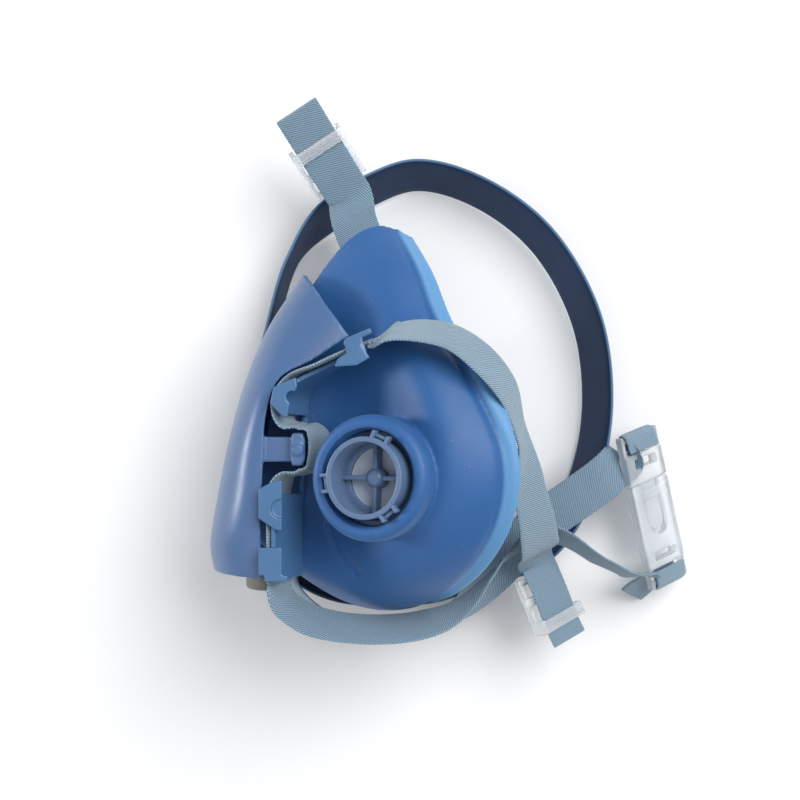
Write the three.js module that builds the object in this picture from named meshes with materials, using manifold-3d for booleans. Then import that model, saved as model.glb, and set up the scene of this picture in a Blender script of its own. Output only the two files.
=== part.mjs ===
// A reusable half-mask respirator lying on its wearer's right side.
// Millimetres. +X is the wearer's back, +Y the wearer's up, +Z the wearer's left, which is up.
// Pieces are drawn about the mask's mid-plane (z = 0), then the whole is moved so that it stands on z = 0.
import * as THREE from 'three';
import { mergeVertices } from 'three/addons/utils/BufferGeometryUtils.js';
import Module from 'manifold-3d';

const wasm = await Module();
wasm.setup();

// ---------------------------------------------------------------- driving dimensions
const NOSE = [4, 66];               // top of the face seal, in the mid-plane
const CHIN = [14, -81];             // bottom of the face seal
const FRONT_CENTRE = [-52, -10];    // middle of the facepiece's flat front
const FRONT_HALF_LENGTH = 44;
const FRONT_HALF_WIDTH = 10;
const SILICONE = 3;                 // facepiece wall
const PORT_CENTRE = [-13.5, -28.4, 54];   // middle of the left port's rim
const PORT_AXIS = new THREE.Vector3(-0.40, 0.05, 0.915).normalize();
const TUBE_RADIUS = 15.2;
const TUBE_BORE = 13.2;
const COLLAR_RADIUS = 23.5;
const WELL_RADIUS = 17.9;           // gap round the tube inside the collar
const FLANGE_RADIUS = 19.4;
const WEBBING_WIDTH = 19;
const WEBBING_THICKNESS = 1.4;
const RAIL_TOP = 33.6;              // underside of the rail's pads
const PAD_THICKNESS = 2;
const COVER_THICKNESS = 2;
const CRADLE_WIDTH = 25;
const CRADLE_THICKNESS = 2;
const GAP = 0.3;

// ---------------------------------------------------------------- materials
function finish(color, roughness, extra = {}) {
  return new THREE.MeshStandardMaterial({ color, roughness, metalness: 0, ...extra });
}

const silicone = finish(0x4a7fbc, 0.55);
const coverPlastic = finish(0x5b7fa6, 0.4);
const railPlastic = finish(0x4f7fae, 0.35);
const portPlastic = finish(0x7c93b5, 0.35);
const valveRubber = finish(0xc4ccd6, 0.5);
const gasketRubber = finish(0x24354f, 0.6);
const webbing = finish(0x7d97ab, 0.9);
const cradleBand = finish(0x34506f, 0.6);
const clearPlastic = finish(0xe8ecef, 0.2, { transparent: true, opacity: 0.6 });

// ---------------------------------------------------------------- solids and meshes
function solidOf(geometry) {
  const bare = geometry.clone();
  bare.deleteAttribute('normal');
  bare.deleteAttribute('uv');
  const merged = mergeVertices(bare, 1e-4);
  return new wasm.Manifold(new wasm.Mesh({
    numProp: 3,
    vertProperties: new Float32Array(merged.attributes.position.array),
    triVerts: new Uint32Array(merged.index.array),
  }));
}

function geometryOf(solid) {
  const mesh = solid.getMesh();
  const geometry = new THREE.BufferGeometry();
  geometry.setAttribute('position', new THREE.BufferAttribute(new Float32Array(mesh.vertProperties), 3));
  geometry.setIndex(new THREE.BufferAttribute(new Uint32Array(mesh.triVerts), 1));
  return geometry;
}

function union(...geometries) {
  return geometries.map(solidOf).reduce((whole, piece) => whole.add(piece));
}

function mirrored(geometry) {
  const copy = geometry.clone();
  copy.scale(1, 1, -1);
  copy.setIndex(Array.from(copy.index.array).reverse());
  return copy;
}

function indexed(geometry) {
  const bare = geometry.clone();
  bare.deleteAttribute('normal');
  bare.deleteAttribute('uv');
  return mergeVertices(bare, 1e-4);
}

function turnedBy(geometry, matrix) {
  return indexed(geometry).applyMatrix4(matrix);
}

// A closed skin over loops of points, each loop the same length, ending in a pole at both ends.
function loft(loops, startPole, endPole) {
  const count = loops[0].length;
  const positions = [...startPole];
  loops.forEach((loop) => loop.forEach((p) => positions.push(...p)));
  positions.push(...endPole);
  const at = (ring, i) => 1 + ring * count + (i % count);
  const last = 1 + loops.length * count;
  const index = [];
  for (let i = 0; i < count; i += 1) {
    index.push(0, at(0, i), at(0, i + 1));
    index.push(last, at(loops.length - 1, i + 1), at(loops.length - 1, i));
    for (let ring = 0; ring < loops.length - 1; ring += 1) {
      index.push(at(ring, i), at(ring + 1, i), at(ring + 1, i + 1));
      index.push(at(ring, i), at(ring + 1, i + 1), at(ring, i + 1));
    }
  }
  const geometry = new THREE.BufferGeometry();
  geometry.setAttribute('position', new THREE.Float32BufferAttribute(positions, 3));
  geometry.setIndex(index);
  if (signedVolume(geometry) < 0) {
    geometry.setIndex(index.slice().reverse());
  }
  return geometry;
}

function signedVolume(geometry) {
  const p = geometry.attributes.position;
  const corners = [new THREE.Vector3(), new THREE.Vector3(), new THREE.Vector3()];
  let volume = 0;
  for (let i = 0; i < geometry.index.count; i += 3) {
    corners.forEach((corner, k) => corner.fromBufferAttribute(p, geometry.index.getX(i + k)));
    volume += corners[0].dot(corners[1].clone().cross(corners[2])) / 6;
  }
  return volume;
}

// A flat band along a route. Each stop is [x, y, z, wx, wy, wz]: a point and the way the width points,
// and may end with the width there.
function band(stops, steps, { width, thickness, closed = false }) {
  const centre = new THREE.CatmullRomCurve3(
    stops.map((s) => new THREE.Vector3(s[0], s[1], s[2])), closed, 'centripetal');
  const across = new THREE.CatmullRomCurve3(
    stops.map((s) => new THREE.Vector3(s[3], s[4], s[5]).normalize()), closed, 'centripetal');
  const widths = new THREE.CatmullRomCurve3(
    stops.map((s) => new THREE.Vector3(s[6] ?? width, 0, 0)), closed);
  const count = closed ? steps : steps + 1;
  const rings = [];
  for (let i = 0; i < count; i += 1) {
    const t = i / steps;
    const point = centre.getPoint(t);
    const along = centre.getTangent(t);
    const side = across.getPoint(t);
    side.addScaledVector(along, -side.dot(along)).normalize();
    const face = along.clone().cross(side).normalize();
    rings.push([[-1, -1], [1, -1], [1, 1], [-1, 1]].map(([a, b]) => point.clone()
      .addScaledVector(side, a * widths.getPoint(t).x / 2)
      .addScaledVector(face, b * thickness / 2).toArray()));
  }
  return boxSkin(rings, closed);
}

// Joins four-cornered rings into one closed skin.
function boxSkin(rings, closed) {
  const index = [];
  const at = (ring, i) => (ring % rings.length) * 4 + (i % 4);
  const spans = closed ? rings.length : rings.length - 1;
  for (let ring = 0; ring < spans; ring += 1) {
    for (let i = 0; i < 4; i += 1) {
      index.push(at(ring, i), at(ring, i + 1), at(ring + 1, i + 1));
      index.push(at(ring, i), at(ring + 1, i + 1), at(ring + 1, i));
    }
  }
  if (!closed) {
    const end = rings.length - 1;
    index.push(at(0, 0), at(0, 2), at(0, 1), at(0, 0), at(0, 3), at(0, 2));
    index.push(at(end, 0), at(end, 1), at(end, 2), at(end, 0), at(end, 2), at(end, 3));
  }
  const geometry = new THREE.BufferGeometry();
  geometry.setAttribute('position', new THREE.Float32BufferAttribute(rings.flat(2), 3));
  geometry.setIndex(index);
  if (signedVolume(geometry) < 0) {
    geometry.setIndex(index.slice().reverse());
  }
  return geometry;
}

// A plate with the given outline in XY, from z = low to z = high.
function plate(outline, low, high) {
  const shape = new THREE.Shape(outline.map(([x, y]) => new THREE.Vector2(x, y)));
  const geometry = new THREE.ExtrudeGeometry(shape, { depth: high - low, bevelEnabled: false });
  geometry.translate(0, 0, low);
  return indexed(geometry);
}

// A solid of revolution about +Z. The profile's pairs are [radius, z].
function turned(profile, segments) {
  const points = profile.map(([radius, z]) => new THREE.Vector2(radius, z));
  const geometry = new THREE.LatheGeometry(points, segments);
  geometry.rotateX(Math.PI / 2);
  const solid = indexed(geometry);
  if (signedVolume(solid) < 0) {
    solid.setIndex(Array.from(solid.index.array).reverse());
  }
  return solid;
}

// A tube about +Z, as a ring-shaped section turned once.
function ring(inner, outer, low, high, segments) {
  return turned([[inner, low], [outer, low], [outer, high], [inner, high], [inner, low]], segments);
}

function disc(radius, low, high, segments) {
  return turned([[0, low], [radius, low], [radius, high], [0, high]], segments);
}

function box(sizeX, sizeY, sizeZ, x, y, z) {
  return indexed(new THREE.BoxGeometry(sizeX, sizeY, sizeZ).translate(x, y, z));
}

// ---------------------------------------------------------------- facepiece
// Half of the face seal's line, from nose to chin: [x, y, half-width].
const sealLine = new THREE.CatmullRomCurve3([
  [NOSE[0], NOSE[1], 0], [12, 50, 14], [19, 31, 24], [30, 13, 37], [40, -8, 44],
  [43.5, -28, 46], [40.5, -47, 42], [32, -64, 31], [22, -75, 17], [CHIN[0], CHIN[1], 0],
].map((p) => new THREE.Vector3(...p)), false, 'centripetal');
const SEAL_MIDDLE = new THREE.Vector3(25, -12, 0);
const SEAL_INWARD = 0.26;           // how far the seal turns in, as a share of the way to its middle
const FRONT_SLOPE = new THREE.Vector2(0.196, 0.98);
const AROUND = 36;
const LEVELS = 9;

function sealPoint(i) {
  const half = AROUND / 2;
  const away = i <= half ? i / half : (AROUND - i) / half;
  const p = sealLine.getPoint(away);
  return new THREE.Vector3(p.x, p.y, i <= half ? p.z : -p.z);
}

function frontPoint(i, shrink) {
  const angle = (2 * Math.PI * i) / AROUND;
  const length = (FRONT_HALF_LENGTH - shrink) * Math.cos(angle);
  return new THREE.Vector3(
    FRONT_CENTRE[0] + FRONT_SLOPE.x * length,
    FRONT_CENTRE[1] + FRONT_SLOPE.y * length,
    (FRONT_HALF_WIDTH - shrink) * Math.sin(angle));
}

// The wall's shape from the front (t = 0) to the seal (t = 1): it swells past the seal, then comes in.
function swell(t, power) {
  const wave = Math.sin(t * 2.094);
  return 1.12 * (t < 0.75 ? wave ** power : wave);
}

function wallLoop(t, shrink) {
  const loop = [];
  for (let i = 0; i < AROUND; i += 1) {
    const front = frontPoint(i, shrink);
    const seal = sealPoint(i);
    seal.lerp(SEAL_MIDDLE, shrink * 0.022);
    const cheek = Math.abs(Math.sin((2 * Math.PI * i) / AROUND));
    const x = front.x + shrink + (seal.x - front.x - 1.6 * shrink) * t;
    const y = front.y + (seal.y - front.y) * swell(t, 1);
    const z = front.z + (seal.z - front.z) * swell(t, 1 + 3.6 * cheek);
    loop.push([x, y, z]);
  }
  return loop;
}

function wallSolid(shrink) {
  const loops = [];
  for (let level = 0; level <= LEVELS; level += 1) {
    loops.push(wallLoop(level / LEVELS, shrink));
  }
  const front = [FRONT_CENTRE[0] + shrink, FRONT_CENTRE[1], 0];
  const back = [SEAL_MIDDLE.x - 1.2 * shrink, SEAL_MIDDLE.y, 0];
  return solidOf(loft(loops, front, back));
}

function sealOpening() {
  const loops = [-9, 9].map((shift) => {
    const loop = [];
    for (let i = 0; i < AROUND; i += 1) {
      const p = sealPoint(i).lerp(SEAL_MIDDLE, SEAL_INWARD);
      loop.push([p.x + shift, p.y, p.z]);
    }
    return loop;
  });
  return solidOf(loft(loops, [SEAL_MIDDLE.x - 12, SEAL_MIDDLE.y, 0], [SEAL_MIDDLE.x + 12, SEAL_MIDDLE.y, 0]));
}

const portMatrix = new THREE.Matrix4().makeBasis(
  new THREE.Vector3(0, 1, 0).cross(PORT_AXIS).normalize(),
  PORT_AXIS.clone().cross(new THREE.Vector3(0, 1, 0).cross(PORT_AXIS)).normalize(),
  PORT_AXIS).setPosition(...PORT_CENTRE);

function inPortPlace(geometry) {
  return turnedBy(geometry, portMatrix);
}

const COLLAR_PROFILE = [[0, -33], [22, -33], [22, -13], [COLLAR_RADIUS, -10], [COLLAR_RADIUS, -6.5],
  [22.4, -4.2], [20.6, -3.2], [19, -3.4], [0, -3.4]];
const WELL_PROFILE = [[0, 2], [WELL_RADIUS + 1, 2], [WELL_RADIUS + 1, -3.6], [WELL_RADIUS, -5],
  [WELL_RADIUS, -10], [TUBE_RADIUS + 0.35, -10], [TUBE_RADIUS + 0.35, -18], [0, -18]];
const CUP_PROFILE = [[0, -17.9], [FLANGE_RADIUS + 0.4, -17.9], [FLANGE_RADIUS + 0.4, -38], [0, -38]];

function facepiece() {
  const collar = inPortPlace(turned(COLLAR_PROFILE, 36));
  const well = inPortPlace(turned(WELL_PROFILE, 36));
  const cup = inPortPlace(turned(CUP_PROFILE, 36));
  let body = wallSolid(0).add(solidOf(collar)).add(solidOf(mirrored(collar)));
  let hollow = wallSolid(SILICONE).add(sealOpening());
  [cup, mirrored(cup)].forEach((piece) => {
    hollow = hollow.add(solidOf(piece));
  });
  body = body.subtract(hollow);
  [well, mirrored(well), adapterPlace(disc(ADAPTER_NECK + 0.35, -8, 8, 32))].forEach((piece) => {
    body = body.subtract(solidOf(piece));
  });
  return geometryOf(body);
}

// ---------------------------------------------------------------- exhalation valve
const ADAPTER_NECK = 7.6;
const ADAPTER_RADIUS = 16.5;
const ADAPTER_CENTRE = [-55.6, -28, 0];
const adapterAxis = new THREE.Vector3(-FRONT_SLOPE.y, FRONT_SLOPE.x, 0).normalize();
const adapterMatrix = new THREE.Matrix4().makeBasis(
  new THREE.Vector3(0, 0, 1).cross(adapterAxis).normalize().negate(),
  new THREE.Vector3(0, 0, -1),
  adapterAxis).setPosition(...ADAPTER_CENTRE);

function adapterPlace(geometry) {
  const placed = turnedBy(geometry, adapterMatrix);
  if (signedVolume(placed) < 0) {
    placed.setIndex(Array.from(placed.index.array).reverse());
  }
  return placed;
}

function centreAdapter() {
  return adapterPlace(turned([[5.8, -6], [ADAPTER_NECK, -6], [ADAPTER_NECK, 0.4], [ADAPTER_RADIUS, 0.4],
    [ADAPTER_RADIUS, 7.5], [ADAPTER_RADIUS - 1.8, 7.5], [ADAPTER_RADIUS - 1.8, 2.2], [5.8, 2.2],
    [5.8, -6]], 32));
}

function exhalationSeat() {
  const rim = ring(12, ADAPTER_RADIUS - 2.1, 2.5, 4.3, 32);
  const hub = disc(2.6, 2.5, 4.3, 20);
  const pin = disc(0.9, 4.2, 7.4, 12);
  const head = disc(1.7, 7.3, 8.1, 12);
  const spokes = [0, 1].map((k) => box(25, 1.6, 1.8, 0, 0, 3.4).rotateZ(k * Math.PI / 2));
  return adapterPlace(geometryOf(union(rim, hub, pin, head, ...spokes)));
}

function exhalationFlap() {
  return adapterPlace(ring(1.3, 13.2, 4.3 + GAP, 5.3, 32));
}

// ---------------------------------------------------------------- inhalation port
const LUG_COUNT = 3;
const SPIDER_TOP = -10;
const SPIDER_BOTTOM = -13;
const SEAT_BOTTOM = -14.9;

function lug(angle) {
  const reach = WELL_RADIUS - 0.3 - TUBE_BORE - 0.8;
  const middle = TUBE_BORE + 0.8 + reach / 2;
  const prongs = [-3, 3].map((side) => box(reach, 1.3, 3.4, middle, side, -1.9));
  const bridge = box(1.3, 6.4, 1.8, TUBE_RADIUS + 0.9, 0, -2.6);
  return [...prongs, bridge].map((piece) => piece.rotateZ(angle));
}

function inhalationPort() {
  const tube = ring(TUBE_BORE, TUBE_RADIUS, -18.6, 0, 36);
  const seat = ring(11.4, TUBE_BORE + 0.5, SEAT_BOTTOM, SPIDER_BOTTOM, 36);
  const flange = ring(TUBE_BORE, FLANGE_RADIUS, -20.4, -18.3, 36);
  const hub = turned([[0, SEAT_BOTTOM], [3.8, SEAT_BOTTOM], [3.8, -10.5], [2.8, -9.2], [0, -8.6]], 24);
  const pin = disc(1.0, -19.6, SEAT_BOTTOM + 0.2, 12);
  const head = disc(2, -20.4, -19.5, 12);
  const height = SPIDER_TOP - SEAT_BOTTOM;
  const spokes = [0, 1].map((k) => box(2 * TUBE_BORE + 1, 1.7, height, 0, 0, SPIDER_TOP - height / 2)
    .rotateZ(k * Math.PI / 2));
  const lugs = [];
  for (let k = 0; k < LUG_COUNT; k += 1) {
    lugs.push(...lug(THREE.MathUtils.degToRad(68 + k * 360 / LUG_COUNT)));
  }
  return inPortPlace(geometryOf(union(tube, seat, flange, hub, pin, head, ...spokes, ...lugs)));
}

function inhalationFlap() {
  return inPortPlace(ring(1.4, 12.6, SEAT_BOTTOM - GAP - 1, SEAT_BOTTOM - GAP, 32));
}

function portGasket() {
  return inPortPlace(ring(TUBE_RADIUS + GAP, WELL_RADIUS - GAP, -9.7, -8.4, 32));
}

// ---------------------------------------------------------------- front cover
// Front line (mid-plane) and rear edge (left side) from top to bottom.
const coverFront = new THREE.CatmullRomCurve3([
  [-38.8, 50, 0], [-53, 28, 0], [-62, 6, 0], [-68, -16, 0], [-72.5, -38, 0], [-75.5, -58, 0], [-74, -67, 0],
].map((p) => new THREE.Vector3(...p)), false, 'centripetal');
const coverEdge = new THREE.CatmullRomCurve3([
  [-19.5, 24.5, 26], [-33, 15.5, 28], [-46, 8, 29.5], [-51, -6, 30.5], [-52, -24, 31], [-53, -44, 31],
  [-52.5, -68, 29],
].map((p) => new THREE.Vector3(...p)), false, 'centripetal');
const COVER_ROWS = 14;
const COVER_COLUMNS = 16;
const TAB_OUTLINE = [[-41, -12.5], [-36.8, -12.5], [-35.9, -15], [-35.9, -22.4], [-37, -24.8], [-41, -24.8]];
const TAB_BRIDGE = [[-54, -14], [-39, -14], [-39, -23.5], [-54, -23.5]];

function coverPoint(row, column, inset) {
  const v = row / COVER_ROWS;
  const angle = (column / COVER_COLUMNS - 0.5) * Math.PI;
  const front = coverFront.getPoint(v);
  const edge = coverEdge.getPoint(v);
  const back = 1 - Math.cos(angle);
  return [
    front.x + inset + (edge.x - front.x - inset) * back,
    front.y - inset * 0.25 * (1 - back) + (edge.y - front.y) * back,
    (edge.z - inset) * Math.sin(angle),
  ];
}

function coverShell() {
  const rings = [];
  for (let row = 0; row <= COVER_ROWS; row += 1) {
    const loop = [];
    for (let column = 0; column <= COVER_COLUMNS; column += 1) {
      loop.push(coverPoint(row, column, 0));
    }
    for (let column = COVER_COLUMNS; column >= 0; column -= 1) {
      loop.push(coverPoint(row, column, COVER_THICKNESS));
    }
    rings.push(loop);
  }
  return gridSkin(rings);
}

// Closes a stack of slab-shaped loops: a front row, then the same row on the back, right to left.
function gridSkin(rings) {
  const count = rings[0].length;
  const columns = count / 2;
  const at = (ring, i) => ring * count + (i % count);
  const index = [];
  for (let ring = 0; ring < rings.length - 1; ring += 1) {
    for (let i = 0; i < count; i += 1) {
      index.push(at(ring, i), at(ring, i + 1), at(ring + 1, i + 1));
      index.push(at(ring, i), at(ring + 1, i + 1), at(ring + 1, i));
    }
  }
  [0, rings.length - 1].forEach((ring) => {
    for (let i = 0; i < columns - 1; i += 1) {
      const quad = [at(ring, i), at(ring, i + 1), at(ring, count - 2 - i), at(ring, count - 1 - i)];
      const [a, b, c, d] = ring === 0 ? [...quad].reverse() : quad;
      index.push(a, b, c, a, c, d);
    }
  });
  const geometry = new THREE.BufferGeometry();
  geometry.setAttribute('position', new THREE.Float32BufferAttribute(rings.flat(2), 3));
  geometry.setIndex(index);
  if (signedVolume(geometry) < 0) {
    geometry.setIndex(index.slice().reverse());
  }
  return geometry;
}

function frontCover() {
  const tab = union(plate(TAB_OUTLINE, 21, 34), plate(TAB_BRIDGE, 27.6, 30));
  const tabGeometry = geometryOf(tab);
  return geometryOf(solidOf(coverShell()).add(tab).add(solidOf(mirrored(tabGeometry))));
}

// ---------------------------------------------------------------- harness rail
// The webbing stands on edge in the rail, leaning back by this much.
const RAIL_LEAN = [-0.42, 0, 0.91];
const RAIL_MIDDLE = 24.4;
const WALL_WIDTH = 22;
const WALL_MIDDLE = 23.6;
const WALL_THICKNESS = 1.7;
const railRoute = [[-12.4, 21.3, 35.5], [-17.6, 19.4, 35.5], [-29, 14.3, 31.5], [-38.6, 9.2, 25.4], [-43.6, 3, RAIL_MIDDLE],
  [-44.6, -4, RAIL_MIDDLE], [-42.5, -8.6, RAIL_MIDDLE], [-38, -9.9, RAIL_MIDDLE], [-33.8, -11, RAIL_MIDDLE],
  [-31, -14.5, RAIL_MIDDLE], [-31, -22, RAIL_MIDDLE], [-33.5, -26, RAIL_MIDDLE],
  [-38, -27.8, RAIL_MIDDLE], [-43, -29.3, RAIL_MIDDLE], [-46, -33.5, RAIL_MIDDLE],
  [-46.4, -42, RAIL_MIDDLE], [-46.4, -56, RAIL_MIDDLE], [-46.2, -70, RAIL_MIDDLE]];
// The wall behind the webbing: [x, y, width], its upper edge level with the pads.
const upperWall = [[-14, 17, 7], [-25, 11.8, 10], [-33.6, 7.6, 16], [-40, 2.4, 22], [-41.2, -5.6, 22]];
const lowerWall = [[-43, -36, 22], [-43.4, -44, 22], [-43.4, -56, 22], [-43.2, -68.5, 22]];
const PAD_ONE = [[-47.6, 4.9], [-39.2, 8.6], [-38.6, 5.2], [-41.4, -1], [-42.4, -6.8], [-44, -6.4], [-49, -1.5]];
const PAD_TWO = [[-53.3, -33.6], [-49.6, -31.6], [-44.4, -30.2], [-44.4, -49.1], [-46.5, -49.1], [-53.3, -44.6]];
const FOOT_PAD = [[-53.3, -55.6], [-44.4, -55.6], [-44.4, -68.5], [-53.3, -68.5]];

function standing(points, middle) {
  return points.map(([x, y]) => [x, y, middle, ...RAIL_LEAN]);
}

function wall(points, steps) {
  const stops = points.map(([x, y, width]) => {
    const drop = (WALL_WIDTH - width) / 2;
    return [x + RAIL_LEAN[0] * drop, y, WALL_MIDDLE + RAIL_LEAN[2] * drop, ...RAIL_LEAN, width];
  });
  return band(stops, steps, { width: WALL_WIDTH, thickness: WALL_THICKNESS });
}

// A closed loop round the webbing, where it leaves the rail.
const GUIDE_CENTRE = [-16.6, 19.7, 35.5];
const GUIDE_HEADING = 0.36;
const GUIDE_LENGTH = 7;
const GUIDE_SLOT = 21.4;

function webbingGuide() {
  const outer = box(GUIDE_LENGTH, 6.6, GUIDE_SLOT + 3.4, 0, 0, 0);
  const slot = box(GUIDE_LENGTH + 2, 3.2, GUIDE_SLOT, 0, 0, 0);
  const guide = geometryOf(solidOf(outer).subtract(solidOf(slot)));
  guide.rotateZ(GUIDE_HEADING);
  guide.translate(...GUIDE_CENTRE);
  return guide;
}

function harnessRail() {
  const pads = [PAD_ONE, PAD_TWO, FOOT_PAD].map((outline) => plate(outline, RAIL_TOP, RAIL_TOP + PAD_THICKNESS));
  const link = band(standing([[-37, -3.5], [-37.3, -14], [-37.6, -24], [-39, -37.5]], 12.9), 8,
    { width: 2.6, thickness: 2.4 });
  return geometryOf(union(wall(upperWall, 14), wall(lowerWall, 8), link, webbingGuide(), ...pads));
}

// ---------------------------------------------------------------- strap adjusters
// Each is drawn with its hinge bar along X, its tail end towards +Y and the webbing above it.
const ADJUSTER_LENGTH = 22.5;
const ADJUSTER_HALF_WIDTH = 12.2;
const ADJUSTER_WALL = 2.2;
const HINGE_BAR_RADIUS = 1.3;
const WEBBING_OVER_HINGE = 3.9;
const upperAdjuster = {
  hinge: new THREE.Vector3(-25.1, 91.3, -28),
  along: new THREE.Vector3(-0.476, 0.723, 0.5).normalize(),
  across: new THREE.Vector3(0.835, 0.55, 0).normalize(),
  tail: 38,
};
const lowerAdjuster = {
  hinge: new THREE.Vector3(57.1, -73.4, -26.5),
  along: new THREE.Vector3(0.376, -0.927, 0).normalize(),
  across: new THREE.Vector3(-0.73, -0.296, 0.616).normalize(),
  tail: 29,
};

function adjusterMatrix({ hinge, along, across }) {
  const normal = across.clone().cross(along).normalize();
  return new THREE.Matrix4().makeBasis(across, along, normal).setPosition(hinge);
}

function adjuster(place) {
  const reach = ADJUSTER_LENGTH + 1.8;
  const sides = [-1, 1].map((side) => box(ADJUSTER_WALL, reach, 3.2,
    side * (ADJUSTER_HALF_WIDTH - ADJUSTER_WALL / 2), reach / 2 - 1.8, 0));
  const risers = [-1, 1].map((side) => box(ADJUSTER_WALL, 6, 6.6,
    side * (ADJUSTER_HALF_WIDTH - ADJUSTER_WALL / 2), ADJUSTER_LENGTH - 3, 3.2));
  const hingeBar = turned([[0, -11.5], [HINGE_BAR_RADIUS, -11.5], [HINGE_BAR_RADIUS, 11.5], [0, 11.5]], 16)
    .rotateY(Math.PI / 2);
  const backBar = box(2 * ADJUSTER_HALF_WIDTH - 1, 3.4, 3.2, 0, 8.5, 0.6);
  const crossbar = box(2 * ADJUSTER_HALF_WIDTH - 1, 4, 1.8, 0, ADJUSTER_LENGTH - 2.4, 5.7);
  return geometryOf(union(...sides, ...risers, hingeBar, backBar, crossbar)).applyMatrix4(adjusterMatrix(place));
}

function adjusterTail(place) {
  const tail = box(WEBBING_WIDTH, place.tail, WEBBING_THICKNESS, 0, place.tail / 2 + 0.5, WEBBING_OVER_HINGE);
  return tail.applyMatrix4(adjusterMatrix(place));
}

// A point of the fixed webbing, short of the hinge, and the way its width points there.
function webbingEnd(place, before) {
  const end = new THREE.Vector3(0, before, WEBBING_OVER_HINGE).applyMatrix4(adjusterMatrix(place));
  return [...end.toArray(), ...place.across.toArray()];
}

// ---------------------------------------------------------------- head cradle
// The band's upper edge, a closed oval, from its upper end round the back: [x, y].
const cradleEdge = [[-33.9, 83.6], [-14.8, 95.4], [6.4, 102.2], [33.9, 95.4], [63.6, 74.2], [84.8, 38.2],
  [90.4, 0], [84.8, -33.9], [72.1, -59.4], [61.5, -70], [49.2, -75.1], [36, -78.5], [12.7, -86], [-30, -84.5],
  [-52, -70], [-61, -42], [-63, -17], [-62, 8], [-57, 30], [-47.5, 61.5]];
const CRADLE_MIDDLE = new THREE.Vector2(18, 8);
const CRADLE_LEAN = 0.42;
const CRADLE_TOP = -36.5;
const CRADLE_STEPS = 72;

function cradleStop([x, y], index) {
  const lean = index < 10 ? CRADLE_LEAN : CRADLE_LEAN * 0.25;
  const out = new THREE.Vector2(x, y).sub(CRADLE_MIDDLE).normalize();
  const across = new THREE.Vector3(out.x * Math.sin(lean), out.y * Math.sin(lean), Math.cos(lean));
  const drop = CRADLE_WIDTH / 2;
  return [x - across.x * drop, y - across.y * drop, CRADLE_TOP - across.z * drop, ...across.toArray()];
}

// A cylinder along an adjuster's hinge bar: the loop round it, and its bore.
const LOOP_LENGTH = 7;

function cradleLoop({ hinge, across }, radius, length) {
  const loop = disc(radius, -length / 2, length / 2, 20);
  loop.applyMatrix4(new THREE.Matrix4().lookAt(across, new THREE.Vector3(), new THREE.Vector3(0, 0, 1)));
  loop.translate(...hinge.toArray());
  return loop;
}

function cradlePost({ hinge, across }) {
  const height = hinge.z - HINGE_BAR_RADIUS - CRADLE_TOP + 2;
  const post = box(LOOP_LENGTH - 1, CRADLE_THICKNESS, height, 0, 0, CRADLE_TOP - 2 + height / 2);
  post.rotateZ(Math.atan2(across.y, across.x));
  post.translate(hinge.x, hinge.y, 0);
  return post;
}

function headCradle() {
  const shape = { width: CRADLE_WIDTH, thickness: CRADLE_THICKNESS, closed: true };
  const oval = band(cradleEdge.map(cradleStop), CRADLE_STEPS, shape);
  let cradle = solidOf(oval);
  [upperAdjuster, lowerAdjuster].forEach((place) => {
    const end = union(cradleLoop(place, HINGE_BAR_RADIUS + 1.6, LOOP_LENGTH), cradlePost(place));
    cradle = cradle.add(end).subtract(solidOf(cradleLoop(place, HINGE_BAR_RADIUS + 0.35, 4 * LOOP_LENGTH)));
  });
  return geometryOf(cradle);
}

// ---------------------------------------------------------------- neck buckle
// Drawn with the hook's strap bar along X at the origin and the socket's bar at y = BUCKLE_LENGTH.
const BUCKLE_TOP = new THREE.Vector3(100.5, -15.8, -37);
const BUCKLE_BOTTOM = new THREE.Vector3(115, -76, -46);
const BUCKLE_LENGTH = BUCKLE_TOP.distanceTo(BUCKLE_BOTTOM);
const BUCKLE_HALF_WIDTH = 11;
const BUCKLE_HALF_THICKNESS = 2.6;
const HOOK_BODY_END = 19;
const TONGUE_END = 41;
const TONGUE_HALF_WIDTH = 4.8;
const STRAP_BAR_RADIUS = 1.5;
const buckleAlong = BUCKLE_BOTTOM.clone().sub(BUCKLE_TOP).normalize();
const buckleNormal = new THREE.Vector3(0.56, 0.13, 0.82).projectOnPlane(buckleAlong).normalize();
const buckleMatrix = new THREE.Matrix4().makeBasis(
  buckleAlong.clone().cross(buckleNormal).normalize(), buckleAlong, buckleNormal).setPosition(BUCKLE_TOP);

// A bar across the buckle with an arm each side, joining it to a body that starts at bodyY.
function strapBar(barY, bodyY) {
  const bar = turned([[0, -10.4], [STRAP_BAR_RADIUS, -10.4], [STRAP_BAR_RADIUS, 10.4], [0, 10.4]], 16)
    .rotateY(Math.PI / 2).translate(0, barY, 0);
  const outward = Math.sign(barY - bodyY);
  const length = Math.abs(barY - bodyY) + 3.4;
  const arms = [-1, 1].map((side) => box(2, length, 3.6, side * (BUCKLE_HALF_WIDTH - 1),
    bodyY + outward * (length / 2 - 1), 0));
  return [bar, ...arms];
}

function buckleHook() {
  const body = box(2 * BUCKLE_HALF_WIDTH, HOOK_BODY_END - 6, 2 * BUCKLE_HALF_THICKNESS,
    0, (HOOK_BODY_END + 6) / 2, 0);
  const length = TONGUE_END - TONGUE_HALF_WIDTH - HOOK_BODY_END + 2;
  const tongue = box(2 * TONGUE_HALF_WIDTH, length, 2, 0, HOOK_BODY_END - 2 + length / 2, 0.2);
  const tip = disc(TONGUE_HALF_WIDTH, -0.8, 1.2, 24).translate(0, TONGUE_END - TONGUE_HALF_WIDTH, 0);
  return geometryOf(union(body, tongue, tip, ...strapBar(0, 6))).applyMatrix4(buckleMatrix);
}

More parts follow.
